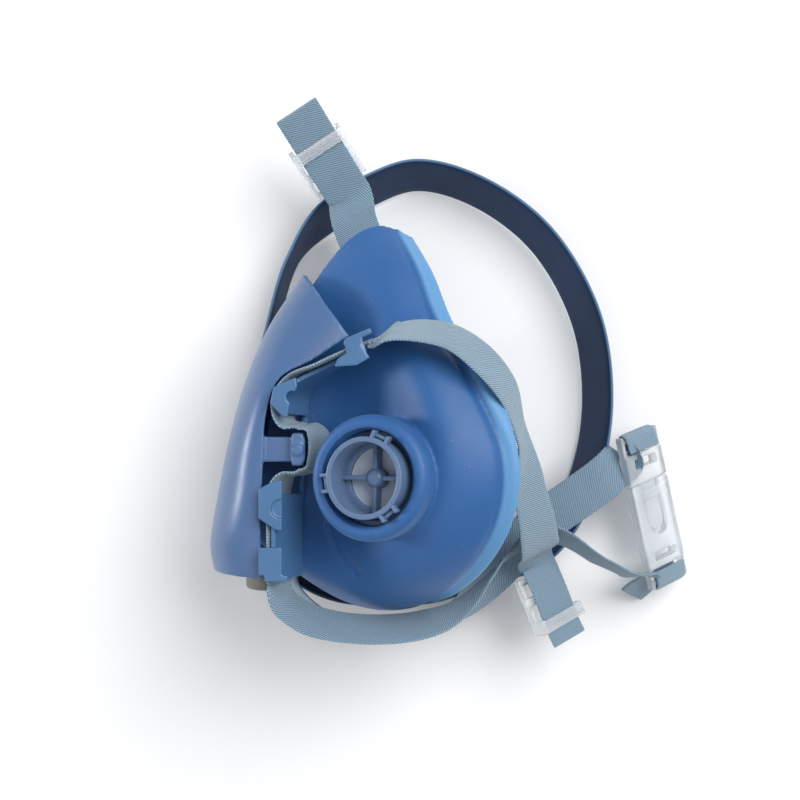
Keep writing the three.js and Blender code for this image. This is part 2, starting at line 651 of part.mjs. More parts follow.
function buckleSocket() {
  const start = HOOK_BODY_END + GAP;
  const end = BUCKLE_LENGTH - 6;
  const body = box(2 * BUCKLE_HALF_WIDTH, end - start, 2 * BUCKLE_HALF_THICKNESS, 0, (end + start) / 2, 0);
  const channelEnd = TONGUE_END + 1.5;
  const channel = box(2 * TONGUE_HALF_WIDTH + 0.8, channelEnd - start + 2, 5, 0, (channelEnd + start) / 2 - 1, 1.3);
  const cover = box(2 * BUCKLE_HALF_WIDTH, 4, 1, 0, start + 5, 2.3);
  const shell = solidOf(body).subtract(solidOf(channel));
  const bars = strapBar(BUCKLE_LENGTH, end).map(solidOf);
  const whole = [...bars, solidOf(cover)].reduce((sum, piece) => sum.add(piece), shell);
  return geometryOf(whole).applyMatrix4(buckleMatrix);
}

// Webbing folded round a strap bar: it comes under the buckle, turns up round the bar's outer side and
// ends on top. The outer side is away from the buckle's middle.
const FOLD_RADIUS = STRAP_BAR_RADIUS + 0.5 + WEBBING_THICKNESS / 2;
const FOLD_START = 5;

function outerSide(barY) {
  return barY < BUCKLE_LENGTH / 2 ? -1 : 1;
}

function barLoop(barY) {
  const outward = outerSide(barY);
  const stops = [[0, barY - outward * FOLD_START, -FOLD_RADIUS - 0.6], [0, barY - outward * 2, -FOLD_RADIUS - 0.2]];
  for (let k = 0; k <= 4; k += 1) {
    const angle = -Math.PI / 2 + (k * Math.PI) / 4;
    stops.push([0, barY + outward * FOLD_RADIUS * Math.cos(angle), FOLD_RADIUS * Math.sin(angle)]);
  }
  stops.push([0, barY - outward * 2, FOLD_RADIUS + 0.2], [0, barY - outward * FOLD_START, FOLD_RADIUS + 0.6]);
  const loop = band(stops.map((stop) => [...stop, 1, 0, 0]), 24, { width: 17.5, thickness: WEBBING_THICKNESS });
  return loop.applyMatrix4(buckleMatrix);
}

// ---------------------------------------------------------------- webbing
const strap = { width: WEBBING_WIDTH, thickness: WEBBING_THICKNESS };
const GUIDE_EXIT = [-10.4, 22.1, 35.6, 0, 0, 1];
const FOOT_EXIT = [-46.2, -71.3, RAIL_MIDDLE, ...RAIL_LEAN];

function railWebbing() {
  const stops = railRoute.map((point) => [...point, ...RAIL_LEAN]);
  stops[0].splice(3, 3, ...GUIDE_EXIT.slice(3));
  stops[1].splice(3, 3, 0, 0, 1);
  stops[2].splice(3, 3, -0.06, 0, 0.99);
  return band(stops, 60, strap);
}

function webbingLeftUpper() {
  return band([GUIDE_EXIT, [-8.2, 23, 36, 0.03, -0.06, 1], [-3, 25.3, 40.6, 0.06, -0.3, 0.95],
    [7.5, 25.8, 43, 0, -0.47, 0.88], [19.4, 23.2, 43.5, -0.19, -0.51, 0.84], [30, 15.8, 43, -0.41, -0.42, 0.81],
    [40.6, 3.6, 36, -0.38, -0.32, 0.87], [46.4, -13, 25.5, -0.24, -0.15, 0.96], [50.4, -33.9, 13.5, -0.66, -0.1, 0.74],
    [54.5, -50, 4, -0.74, -0.1, 0.66], [56.6, -60, -7, -0.74, -0.2, 0.64],
    webbingEnd(lowerAdjuster, -6.5), webbingEnd(lowerAdjuster, -3.2)], 42, strap);
}

function webbingLeftLower() {
  return band([FOOT_EXIT, [-46.1, -73.4, 24.3, ...RAIL_LEAN], [-44, -78.2, 22.5, -0.4, -0.15, 0.9],
    [-36, -84.5, 19, -0.25, -0.4, 0.88], [-20, -89, 14, -0.05, -0.46, 0.89], [0, -90, 8, 0, -0.45, 0.89],
    [13, -88, 3, 0.1, -0.4, 0.9], [24, -83, -4, 0.1, -0.2, 0.95], [35, -73.5, -14, 0, 0, 1],
    [46, -63, -20.5, 0, 0.3, 0.95], [55, -57.5, -22, 0.05, 0.6, 0.8], [66, -57, -22.4, -0.1, 0.45, 0.9],
    [84, -67.5, -27, -0.1, 0.3, 0.95], [97, -73.5, -33, -0.2, 0.2, 0.95], [104.5, -74.5, -38, -0.4, 0.1, 0.9]],
  48, strap);
}

function webbingRightUpper() {
  const start = [...GUIDE_EXIT];
  start[2] *= -1;
  start[5] *= -1;
  return band([start, [-8.2, 23.1, -36, 0.03, -0.05, -1], [-4, 27, -41, 0.5, -0.4, -0.75],
    [-3, 37, -39.5, 0.85, -0.1, -0.5], [-8, 50, -35, 0.95, 0.25, -0.15], [-15, 64, -31, 0.9, 0.42, 0],
    [-19.5, 76, -29, 0.85, 0.52, 0], webbingEnd(upperAdjuster, -5.5), webbingEnd(upperAdjuster, -3)], 34, strap);
}

function webbingRightLower() {
  const start = [...FOOT_EXIT];
  start[2] *= -1;
  start[5] *= -1;
  return band([start, [-46.1, -73.4, -24.3, RAIL_LEAN[0], 0, -RAIL_LEAN[2]], [-43.5, -79, -24, -0.3, -0.2, -0.93],
    [-34, -87, -25, -0.1, -0.2, -0.95], [-15, -94, -26, 0, -0.1, -0.98], [8, -94.5, -26.5, 0, -0.2, -0.96],
    [24, -88, -28, 0.25, -0.5, -0.8], [36, -77, -31, 0.5, -0.7, -0.45], [47, -64, -32.6, 0.65, -0.75, 0],
    [62, -50, -33, 0.6, -0.8, 0], [78, -39, -33.4, 0.56, -0.83, 0], [88, -31.5, -34, 0.56, -0.83, 0]], 48, strap);
}

// ---------------------------------------------------------------- assembly
const model = new THREE.Group();
const mask = new THREE.Group();
model.add(mask);

function add(name, geometry, material) {
  const mesh = new THREE.Mesh(geometry, material);
  mesh.name = name;
  mask.add(mesh);
  return mesh;
}

function addPair(name, geometry, material) {
  add(`${name}_left`, geometry, material);
  add(`${name}_right`, mirrored(geometry), material);
}

add('facepiece', facepiece(), silicone);
add('front_cover', frontCover(), coverPlastic);
add('centre_adapter', centreAdapter(), railPlastic);
add('exhalation_valve_seat', exhalationSeat(), portPlastic);
add('exhalation_flap', exhalationFlap(), valveRubber);
addPair('harness_rail', harnessRail(), railPlastic);
addPair('inhalation_port', inhalationPort(), portPlastic);
addPair('inhalation_flap', inhalationFlap(), valveRubber);
addPair('port_gasket', portGasket(), gasketRubber);
addPair('webbing_rail_run', railWebbing(), webbing);
add('webbing_upper_run_left', webbingLeftUpper(), webbing);
add('webbing_upper_run_right', webbingRightUpper(), webbing);
add('webbing_lower_run_left', webbingLeftLower(), webbing);
add('webbing_lower_run_right', webbingRightLower(), webbing);
add('webbing_tail_left', adjusterTail(lowerAdjuster), webbing);
add('webbing_tail_right', adjusterTail(upperAdjuster), webbing);
add('head_cradle', headCradle(), cradleBand);
add('adjuster_upper', adjuster(upperAdjuster), clearPlastic);
add('adjuster_lower', adjuster(lowerAdjuster), clearPlastic);
add('buckle_hook', buckleHook(), clearPlastic);
add('buckle_socket', buckleSocket(), clearPlastic);
add('webbing_neck_fold_right', barLoop(0), webbing);
add('webbing_neck_fold_left', barLoop(BUCKLE_LENGTH), webbing);

// The origin is the middle of the whole's footprint, at its lowest point.
const whole = new THREE.Box3().setFromObject(model);
const footprint = whole.getCenter(new THREE.Vector3());
mask.position.set(-footprint.x, -footprint.y, -whole.min.z);

export default model;
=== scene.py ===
"""A reusable half-mask respirator lying on its wearer's right side, seen from above.

Shapes are drawn in millimetres about the mask's mid-plane (z = 0), with +X the wearer's back, +Y the
wearer's up and +Z the wearer's left. settle() then moves each one into the frame, in metres.
"""

import math

import bmesh
import bpy
import numpy as np
from mathutils import Matrix, Vector


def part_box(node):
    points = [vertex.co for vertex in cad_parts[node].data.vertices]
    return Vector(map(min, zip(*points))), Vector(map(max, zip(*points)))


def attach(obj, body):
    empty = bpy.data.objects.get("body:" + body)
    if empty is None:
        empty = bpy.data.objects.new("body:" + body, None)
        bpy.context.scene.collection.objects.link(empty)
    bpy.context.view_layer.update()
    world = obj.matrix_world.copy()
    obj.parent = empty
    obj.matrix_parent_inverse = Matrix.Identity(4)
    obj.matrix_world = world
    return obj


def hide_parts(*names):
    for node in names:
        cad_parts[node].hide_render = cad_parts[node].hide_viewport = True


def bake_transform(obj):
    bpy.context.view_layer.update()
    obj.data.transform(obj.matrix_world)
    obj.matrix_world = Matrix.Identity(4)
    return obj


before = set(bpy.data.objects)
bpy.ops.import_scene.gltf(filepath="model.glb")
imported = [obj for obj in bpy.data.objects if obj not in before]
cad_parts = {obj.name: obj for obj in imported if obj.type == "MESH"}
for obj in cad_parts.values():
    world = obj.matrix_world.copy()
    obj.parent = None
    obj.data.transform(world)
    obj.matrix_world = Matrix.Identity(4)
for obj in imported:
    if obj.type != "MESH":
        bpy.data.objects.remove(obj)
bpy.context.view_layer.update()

MM = 0.001                          # metres in a millimetre

# ---------------------------------------------------------------- driving dimensions
NOSE = (4, 66)                      # top of the face seal, in the mid-plane
CHIN = (14, -81)                    # bottom of the face seal
FRONT_CENTRE = (-52, -10)           # middle of the facepiece's flat front
FRONT_HALF_LENGTH = 44
FRONT_HALF_WIDTH = 10
SILICONE = 3                        # facepiece wall
PORT_CENTRE = np.array([-13.5, -28.4, 54])
PORT_AXIS = np.array([-0.40, 0.05, 0.915]) / np.linalg.norm([-0.40, 0.05, 0.915])
TUBE_RADIUS = 15.2
TUBE_BORE = 13.2
WELL_RADIUS = 17.9
FLANGE_RADIUS = 19.4
SEAT_BOTTOM = -14.9                 # the inhalation flap's seat, along the port's axis
FLAP_GAP = 0.3
FLAP_THICKNESS = 1
WEBBING_WIDTH = 19
WEBBING_THICKNESS = 1.4
COVER_THICKNESS = 2
CRADLE_WIDTH = 25
CRADLE_THICKNESS = 2
RAIL_TOP = 33.6
PAD_THICKNESS = 2

# The left inhalation flap's middle is known both in the drawing and in the frame.
flap_low, flap_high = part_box("inhalation_flap_left")
FLAP_MIDDLE = PORT_CENTRE + PORT_AXIS * (SEAT_BOTTOM - FLAP_GAP - FLAP_THICKNESS / 2)
SHIFT = np.array((flap_low + flap_high) / 2) - FLAP_MIDDLE * MM


# ---------------------------------------------------------------- curves
def unit(vector):
    """The same direction with length 1, for one vector or an array of them."""
    vector = np.asarray(vector, float)
    return vector / np.linalg.norm(vector, axis=-1, keepdims=True)


def spline(points, times, closed=False):
    """Points on a centripetal Catmull-Rom curve through points, at times from 0 to 1."""
    points = np.asarray(points, float)
    count = len(points)
    result = []
    for time in times:
        place = (count if closed else count - 1) * time
        start = int(math.floor(place))
        rest = place - start
        if not closed and start >= count - 1:
            start, rest = count - 2, 1.0
        if closed:
            a, b, c, d = (points[(start + k) % count] for k in (-1, 0, 1, 2))
        else:
            b, c = points[start], points[start + 1]
            a = points[start - 1] if start > 0 else 2 * b - c
            d = points[start + 2] if start + 2 < count else 2 * c - b
        result.append(spline_span(a, b, c, d, rest))
    return np.array(result)


def spline_span(a, b, c, d, rest):
    """A point of the span from b to c, where a and d are the points beyond."""
    steps = [max(np.linalg.norm(q - p) ** 0.5, 1e-3) for p, q in ((a, b), (b, c), (c, d))]
    leave = ((b - a) / steps[0] - (c - a) / (steps[0] + steps[1]) + (c - b) / steps[1]) * steps[1]
    arrive = ((c - b) / steps[1] - (d - b) / (steps[1] + steps[2]) + (d - c) / steps[2]) * steps[1]
    square = -3 * b + 3 * c - 2 * leave - arrive
    cube = 2 * b - 2 * c + leave + arrive
    return b + leave * rest + square * rest ** 2 + cube * rest ** 3


# ---------------------------------------------------------------- meshes
CORNER_POINTS = 4                   # on each rounded corner of a section


def new_object(name, points, faces, uv=None):
    """A mesh object, still in millimetres. uv holds one pair for each point."""
    mesh = bpy.data.meshes.new(name)
    mesh.from_pydata([tuple(p) for p in points], [], faces)
    mesh.update()
    if uv is not None:
        layer = mesh.uv_layers.new(name="UVMap")
        corners = np.zeros(len(mesh.loops), int)
        mesh.loops.foreach_get("vertex_index", corners)
        layer.data.foreach_set("uv", np.asarray(uv, np.float32)[corners].ravel())
    result = bpy.data.objects.new(name, mesh)
    bpy.context.scene.collection.objects.link(result)
    return result


def outward(target):
    """Turns the faces of a closed mesh outwards."""
    work = bmesh.new()
    work.from_mesh(target.data)
    bmesh.ops.recalc_face_normals(work, faces=work.faces)
    work.to_mesh(target.data)
    work.free()
    return target


def baked(target, *modifiers):
    """Adds modifiers, each (kind, settings), and keeps their result as the mesh."""
    for kind, settings in modifiers:
        modifier = target.modifiers.new(kind, kind)
        for key, value in settings.items():
            setattr(modifier, key, value)
    graph = bpy.context.evaluated_depsgraph_get()
    result = bpy.data.meshes.new_from_object(target.evaluated_get(graph), depsgraph=graph)
    target.modifiers.clear()
    target.data = result
    return target


def joined(name, targets):
    """One object that holds the meshes of several."""
    work = bmesh.new()
    for target in targets:
        work.from_mesh(target.data)
    mesh = bpy.data.meshes.new(name)
    work.to_mesh(mesh)
    work.free()
    for target in targets:
        bpy.data.objects.remove(target)
    result = bpy.data.objects.new(name, mesh)
    bpy.context.scene.collection.objects.link(result)
    return result


def combined(target, other, operation):
    """target joined to, or cut by, other, which is used up."""
    baked(target, ("BOOLEAN", {"object": other, "operation": operation, "solver": "EXACT"}))
    bpy.data.objects.remove(other)
    return target


def moulded(name, targets, voxel, smoothing):
    """Closed shells fused into one skin with soft edges, as a moulding has."""
    fused = joined(name, targets)
    return baked(
        fused,
        ("REMESH", {"mode": "VOXEL", "voxel_size": voxel, "use_smooth_shade": True}),
        ("SMOOTH", {"factor": 0.5, "iterations": smoothing}))


def mirror_copy(target, name):
    """A copy of target on the other side of the mid-plane."""
    copy = bpy.data.objects.new(name, target.data.copy())
    bpy.context.scene.collection.objects.link(copy)
    copy.data.transform(Matrix.Diagonal((1, 1, -1, 1)))
    copy.data.flip_normals()
    return copy


def settle(target, material, body, slot, *nodes, smooth=True):
    """Moves a finished piece into the frame, in metres, says what it rides on and hides the parts it stands
    for.
    """
    matrix = Matrix.Translation(SHIFT) @ Matrix.Scale(MM, 4)
    target.data.transform(matrix)
    target.data.materials.clear()
    target.data.materials.append(material)
    if smooth:
        target.data.shade_smooth()
    if body:
        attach(target, body)
    if nodes:
        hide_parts(*nodes)
    return target


def in_frame(point):
    """A drawn point in the frame, in metres."""
    return tuple(SHIFT + np.asarray(point, float) * MM)


def grid_faces(rows, columns, wrap_rows=False, wrap_columns=False):
    """Quads between neighbouring points of a grid laid out row by row."""
    faces = []
    for row in range(rows if wrap_rows else rows - 1):
        below = (row + 1) % rows
        for column in range(columns if wrap_columns else columns - 1):
            right = (column + 1) % columns
            faces.append((row * columns + column, row * columns + right,
                          below * columns + right, below * columns + column))
    return faces


def lofted(name, loops, start_pole=None, end_pole=None):
    """A closed skin over equal loops. With no pole an end is closed by one flat face."""
    loops = np.asarray(loops, float)
    rows, columns = loops.shape[:2]
    points = list(loops.reshape(-1, 3))
    faces = grid_faces(rows, columns, wrap_columns=True)
    for pole, row in ((start_pole, 0), (end_pole, rows - 1)):
        ring = [row * columns + k for k in range(columns)]
        if pole is None:
            faces.append(ring)
        else:
            points.append(np.asarray(pole, float))
            faces += [(ring[k], ring[(k + 1) % columns], len(points) - 1) for k in range(columns)]
    return outward(new_object(name, points, faces))


def turned(profile, segments=96):
    """A solid of revolution about +Z. The profile's pairs are [radius, z], round its whole section."""
    profile = np.asarray(profile, float)
    on_axis = profile[0][0] == 0 and profile[-1][0] == 0
    body = profile[1:-1] if on_axis else profile
    angles = np.linspace(0, 2 * math.pi, segments, endpoint=False)
    loops = [[(r * math.cos(a), r * math.sin(a), z) for a in angles] for r, z in body]
    if on_axis:
        return lofted("turned", loops, (0, 0, profile[0][1]), (0, 0, profile[-1][1]))
    points = np.array(loops).reshape(-1, 3)
    faces = grid_faces(len(loops), segments, wrap_rows=True, wrap_columns=True)
    return outward(new_object("turned", points, faces))


def rounded_profile(corners, radius):
    """A closed section with each of its corners rounded."""
    corners = np.asarray(corners, float)
    result = []
    for k, corner in enumerate(corners):
        before = corners[k - 1] - corner
        after = corners[(k + 1) % len(corners)] - corner
        cut = min(radius, np.linalg.norm(before) * 0.45, np.linalg.norm(after) * 0.45)
        first, last = corner + unit(before) * cut, corner + unit(after) * cut
        for t in np.linspace(0, 1, CORNER_POINTS):
            result.append(first * (1 - t) ** 2 + corner * 2 * t * (1 - t) + last * t ** 2)
    return result


def ring(inner, outer, low, high, edge=0.3):
    """A tube about +Z with rounded edges."""
    return turned(rounded_profile([(inner, low), (outer, low), (outer, high), (inner, high)], edge))


def disc(radius, low, high, edge=0.3):
    """A round plate about +Z with rounded edges."""
    return turned([(0, low), (radius - edge, low), (radius, low + edge), (radius, high - edge),
                   (radius - edge, high), (0, high)])


def block(size, centre, edge=0.4):
    """A box with rounded edges."""
    x, y, z = np.array(size) / 2
    points = [(sx * x, sy * y, sz * z) for sz in (-1, 1) for sy in (-1, 1) for sx in (-1, 1)]
    faces = [(0, 2, 3, 1), (4, 5, 7, 6), (0, 1, 5, 4), (2, 6, 7, 3), (0, 4, 6, 2), (1, 3, 7, 5)]
    result = outward(new_object("block", points, faces))
    if edge:
        baked(result, ("BEVEL", {"width": min(edge, 0.45 * min(size)), "segments": 3}))
    result.data.transform(Matrix.Translation(centre))
    return result


def plate(outline, low, high, edge=0.4):
    """A flat plate with that outline in XY and rounded edges."""
    count = len(outline)
    points = [(x, y, z) for z in (low, high) for x, y in outline]
    faces = [tuple(range(count)), tuple(range(count, 2 * count))]
    faces += [(k, (k + 1) % count, count + (k + 1) % count, count + k) for k in range(count)]
    result = outward(new_object("plate", points, faces))
    return baked(result, ("BEVEL", {"width": edge, "segments": 3, "limit_method": "ANGLE"}))


def moved(target, matrix):
    """target with its mesh moved by matrix."""
    target.data.transform(matrix)
    return target


def basis(x, y, z, origin):
    """The matrix that puts the three axes on x, y and z, at origin."""
    matrix = Matrix.Identity(4)
    for column, axis in enumerate((x, y, z, origin)):
        for row in range(3):
            matrix[row][column] = float(axis[row])
    return matrix


# ---------------------------------------------------------------- materials
MOTTLE = 40                         # patches of uneven colour to the metre
SPECK_SIZE = 0.035                  # of the dust, as a share of the space between specks


def shader(name, color, roughness):
    """A new material and its nodes: (material, nodes, links, the shader node)."""
    material = bpy.data.materials.new(name)
    material.use_nodes = True
    nodes, links = material.node_tree.nodes, material.node_tree.links
    surface = nodes["Principled BSDF"]
    surface.inputs["Base Color"].default_value = (*color, 1)
    surface.inputs["Roughness"].default_value = roughness
    material.diffuse_color = (*color, 1)
    return material, nodes, links, surface


def noise(nodes, links, source, scale, detail=3):
    """A noise texture read at source."""
    node = nodes.new("ShaderNodeTexNoise")
    node.inputs["Scale"].default_value = scale
    node.inputs["Detail"].default_value = detail
    links.new(source, node.inputs["Vector"])
    return node.outputs["Fac"]


def blended(nodes, links, factor, low, high):
    """Colour low where factor is 0 and high where it is 1."""
    ramp = nodes.new("ShaderNodeValToRGB")
    ramp.color_ramp.elements[0].color = (*low, 1)
    ramp.color_ramp.elements[1].color = (*high, 1)
    ramp.color_ramp.elements[0].position = 0.3
    ramp.color_ramp.elements[1].position = 0.7
    links.new(factor, ramp.inputs["Fac"])
    return ramp.outputs["Color"]


def computed(nodes, links, operation, *values):
    """A Math node's result. Each value is a number or another node's output."""
    node = nodes.new("ShaderNodeMath")
    node.operation = operation
    for value, socket in zip(values, node.inputs):
        if isinstance(value, float):
            socket.default_value = value
        else:
            links.new(value, socket)
    return node.outputs[0]


def overlaid(nodes, links, surface, factor, color):
    """Turns the surface's colour to another one where factor is 1."""
    mix = nodes.new("ShaderNodeMix")
    mix.data_type = "RGBA"
    mix.inputs["B"].default_value = (*color, 1)
    links.new(factor, mix.inputs["Factor"])
    links.new(surface.inputs["Base Color"].links[0].from_socket, mix.inputs["A"])
    links.new(mix.outputs["Result"], surface.inputs["Base Color"])


def stripes(nodes, links, place, direction, scale, distortion, detail):
    """A wave texture's bands."""
    wave = nodes.new("ShaderNodeTexWave")
    wave.wave_type = "BANDS"
    wave.bands_direction = direction
    for name, value in (("Scale", scale), ("Distortion", distortion), ("Detail", detail)):
        wave.inputs[name].default_value = value
    links.new(place, wave.inputs["Vector"])
    return wave.outputs["Fac"]


def bump(nodes, links, surface, height, strength, distance):
    """Height as a bump on the shader."""
    node = nodes.new("ShaderNodeBump")
    node.inputs["Strength"].default_value = strength
    node.inputs["Distance"].default_value = distance
    links.new(height, node.inputs["Height"])
    links.new(node.outputs["Normal"], surface.inputs["Normal"])


def shade(color, share):
    """The colour made lighter or darker."""
    return tuple(min(1, channel * share) for channel in color)


def moulding(name, color, roughness, grain=1500, depth=0.00004, spread=0.08):
    """A moulded plastic or rubber: fine grain, slight mottling and uneven sheen."""
    material, nodes, links, surface = shader(name, color, roughness)
    place = nodes.new("ShaderNodeTexCoord").outputs["Object"]
    patches = noise(nodes, links, place, MOTTLE, 4)
    tint = blended(nodes, links, patches, shade(color, 1 - spread), shade(color, 1 + spread))
    links.new(tint, surface.inputs["Base Color"])
    polish = nodes.new("ShaderNodeMapRange")
    polish.inputs["To Min"].default_value = roughness - 0.06
    polish.inputs["To Max"].default_value = roughness + 0.08
    links.new(noise(nodes, links, place, MOTTLE * 3, 5), polish.inputs["Value"])
    links.new(polish.outputs["Result"], surface.inputs["Roughness"])
    bump(nodes, links, surface, noise(nodes, links, place, grain, 2), 0.25, depth)
    return material


def silicone_material():
    """Matte silicone with a soft sheen, a few pale specks of dust and a painted highlight along the face
    seal's lip.
    """
    color = (0.019, 0.104, 0.305)
    material = moulding("silicone", color, 0.5, grain=2200, depth=0.00003, spread=0.05)
    nodes, links = material.node_tree.nodes, material.node_tree.links
    surface = nodes["Principled BSDF"]
    surface.inputs["Subsurface Weight"].default_value = 0.06
    surface.inputs["Subsurface Radius"].default_value = (0.001, 0.002, 0.004)
    surface.inputs["Sheen Weight"].default_value = 0.12
    surface.inputs["Sheen Tint"].default_value = (0.6, 0.8, 1.0, 1)
    place = nodes.new("ShaderNodeTexCoord").outputs["Object"]
    specks = nodes.new("ShaderNodeTexVoronoi")
    specks.inputs["Scale"].default_value = 240
    links.new(place, specks.inputs["Vector"])
    near = computed(nodes, links, "LESS_THAN", specks.outputs["Distance"], SPECK_SIZE)
    overlaid(nodes, links, surface, near, (0.30, 0.42, 0.60))
    # painted highlight: a paler blue along the face seal's lip
    rim = nodes.new("ShaderNodeAttribute")
    rim.attribute_name = "rim"
    overlaid(nodes, links, surface, rim.outputs["Fac"], (0.105, 0.285, 0.540))
    return material


def webbing_material(name, color):
    """Woven webbing: diagonal twill ribs crossed by finer yarns. The map's units are millimetres."""
    material, nodes, links, surface = shader(name, color, 0.85)
    place = nodes.new("ShaderNodeUVMap").outputs["UV"]
    twill = stripes(nodes, links, place, "DIAGONAL", 0.58, 0.6, 1)
    yarn = stripes(nodes, links, place, "X", 0.55, 0.8, 2)
    weave = computed(nodes, links, "MULTIPLY_ADD", yarn, 0.6, twill)
    height = computed(nodes, links, "MULTIPLY_ADD", noise(nodes, links, place, 2.2, 4), 0.8, weave)
    level = nodes.new("ShaderNodeMapRange")
    level.inputs["From Min"].default_value = 0.3
    level.inputs["From Max"].default_value = 2.1
    links.new(height, level.inputs["Value"])
    tint = blended(nodes, links, level.outputs["Result"], shade(color, 0.58), shade(color, 1.6))
    links.new(tint, surface.inputs["Base Color"])
    surface.inputs["Sheen Weight"].default_value = 0.3
    bump(nodes, links, surface, height, 0.7, 0.0003)
    return material


def cradle_material():
    """Dark satin rubber whose thin edges are painted paler, a painted highlight where they are lit. The map's
    units are millimetres.
    """
    color = (0.008, 0.032, 0.092)
    material = moulding("cradle_band", color, 0.5, grain=1800, spread=0.1)
    nodes, links = material.node_tree.nodes, material.node_tree.links
    surface = nodes["Principled BSDF"]
    surface.inputs["Specular IOR Level"].default_value = 0.25
    split = nodes.new("ShaderNodeSeparateXYZ")
    links.new(nodes.new("ShaderNodeUVMap").outputs["UV"], split.inputs[0])
    size = computed(nodes, links, "ABSOLUTE", split.outputs["Y"])
    edge = nodes.new("ShaderNodeMapRange")
    edge.inputs["From Min"].default_value = CRADLE_WIDTH / 2 - 0.9
    edge.inputs["From Max"].default_value = CRADLE_WIDTH / 2 - 0.3
    links.new(size, edge.inputs["Value"])
    # painted highlight: paler colour on the band's thin edges
    overlaid(nodes, links, surface, edge.outputs["Result"], (0.10, 0.19, 0.31))
    return material


def clear_material():
    """Milky translucent plastic."""
    material, nodes, links, surface = shader("clear_plastic", (0.94, 0.97, 1.0), 0.25)
    surface.inputs["Transmission Weight"].default_value = 0.7
    surface.inputs["IOR"].default_value = 1.35
    place = nodes.new("ShaderNodeTexCoord").outputs["Object"]
    tint = blended(nodes, links, noise(nodes, links, place, 90, 3), (0.90, 0.95, 0.99), (0.97, 0.98, 1.0))
    links.new(tint, surface.inputs["Base Color"])
    bump(nodes, links, surface, noise(nodes, links, place, 500, 2), 0.1, 0.00005)
    return material


silicone = silicone_material()
cover_plastic = moulding(
    "cover_plastic", (0.070, 0.140, 0.295), 0.33, grain=2600, depth=0.00002, spread=0.03)
rail_plastic = moulding("rail_plastic", (0.062, 0.155, 0.310), 0.3, grain=1800, spread=0.06)
port_plastic = moulding("port_plastic", (0.110, 0.180, 0.310), 0.26, grain=1800, spread=0.06)
valve_rubber = moulding("valve_rubber", (0.46, 0.53, 0.62), 0.4, spread=0.05)
gasket_rubber = moulding("gasket_rubber", (0.020, 0.045, 0.110), 0.55)
# warm grey of a painted reflection of the surface under the mask
warm_reflection_paint = moulding("warm_reflection_paint", (0.16, 0.15, 0.14), 0.5)
cradle_band = cradle_material()
webbing = webbing_material("webbing", (0.178, 0.272, 0.352))
clear_plastic = clear_material()

# ---------------------------------------------------------------- facepiece
SEAL_LINE = [(NOSE[0], NOSE[1], 0), (12, 50, 14), (19, 31, 24), (30, 13, 37), (40, -8, 44), (43.5, -28, 46),
             (40.5, -47, 42), (32, -64, 31), (22, -75, 17), (CHIN[0], CHIN[1], 0)]
SEAL_MIDDLE = np.array([25, -12, 0])
SEAL_INWARD = 0.26                  # how far the seal turns in, as a share of the way to its middle
FRONT_SLOPE = np.array([0.196, 0.98])
AROUND = 160
LIP_REACH = 1.3                     # how far the lip rolls out behind the seal
CREASE_WIDTH = 0.02                 # of the crease inside the face seal's lip, as a share of the wall
CREASE_DEPTH = 1.5
BEAD_HEIGHT = 0.5                   # of the bead between the crease and the lip
BEAD_AFTER_CREASE = 0.045
SWELL_TURN = 2.094                  # of the sine wave that the wall's bulge follows
SWELL_SIZE = 1.12

around_angle = 2 * math.pi * np.arange(AROUND) / AROUND
seal_half = spline(SEAL_LINE, np.minimum(np.arange(AROUND), AROUND - np.arange(AROUND)) / (AROUND / 2))
seal_half[AROUND // 2 + 1:, 2] *= -1


def front_loop(shrink):
    """The oval where the wall starts, round the flat front."""
    length = (FRONT_HALF_LENGTH - shrink) * np.cos(around_angle)
    return np.stack([
        FRONT_CENTRE[0] + FRONT_SLOPE[0] * length,
        FRONT_CENTRE[1] + FRONT_SLOPE[1] * length,
        (FRONT_HALF_WIDTH - shrink) * np.sin(around_angle)], axis=1)


def swell(share, power):
    """The wall's bulge from the front (0) to the seal (1): it swells past the seal, then comes in."""
    wave = np.sin(share * SWELL_TURN)
    return SWELL_SIZE * (wave ** power if share < 0.75 else wave)


def wall_loop(share, shrink, lip):
    """One loop of the wall. lip is 1 on the outer skin, which has the rolled lip, and 0 inside."""
    front = front_loop(shrink)
    seal = seal_half + (SEAL_MIDDLE - seal_half) * shrink * 0.022
    cheek = np.abs(np.sin(around_angle))
    rise = np.array([swell(share, 1 + 3.6 * c) for c in cheek])
    loop = np.stack([
        front[:, 0] + shrink + (seal[:, 0] - front[:, 0] - 1.6 * shrink) * share,
        front[:, 1] + (seal[:, 1] - front[:, 1]) * swell(share, 1),
        front[:, 2] + (seal[:, 2] - front[:, 2]) * rise], axis=1)
    towards_nose = np.clip(np.cos(around_angle), 0, 1)
    crease = 0.945 - 0.085 * towards_nose
    groove = -CREASE_DEPTH * np.exp(-((share - crease) / CREASE_WIDTH) ** 2) * (1 - 0.85 * towards_nose ** 6)
    bead = BEAD_HEIGHT * np.exp(-((share - crease - BEAD_AFTER_CREASE) / CREASE_WIDTH) ** 2)
    out = loop - np.array([0, SEAL_MIDDLE[1], 0])
    out[:, 0] = 0
    loop[:, 0] += LIP_REACH * math.exp(-((share - 1) / 0.045) ** 2) * lip
    return loop + unit(out) * ((groove + bead) * lip)[:, None]


def wall_solid(name, shrink):
    """The facepiece's bulge as a solid, made smaller by shrink."""
    shares = np.concatenate([np.linspace(0, 0.78, 30), np.linspace(0.79, 1, 32)])
    loops = [wall_loop(share, shrink, 0 if shrink else 1) for share in shares]
    front = (FRONT_CENTRE[0] + shrink, FRONT_CENTRE[1], 0)
    back = (SEAL_MIDDLE[0] - 1.2 * shrink, SEAL_MIDDLE[1], 0)
    return lofted(name, loops, front, back)


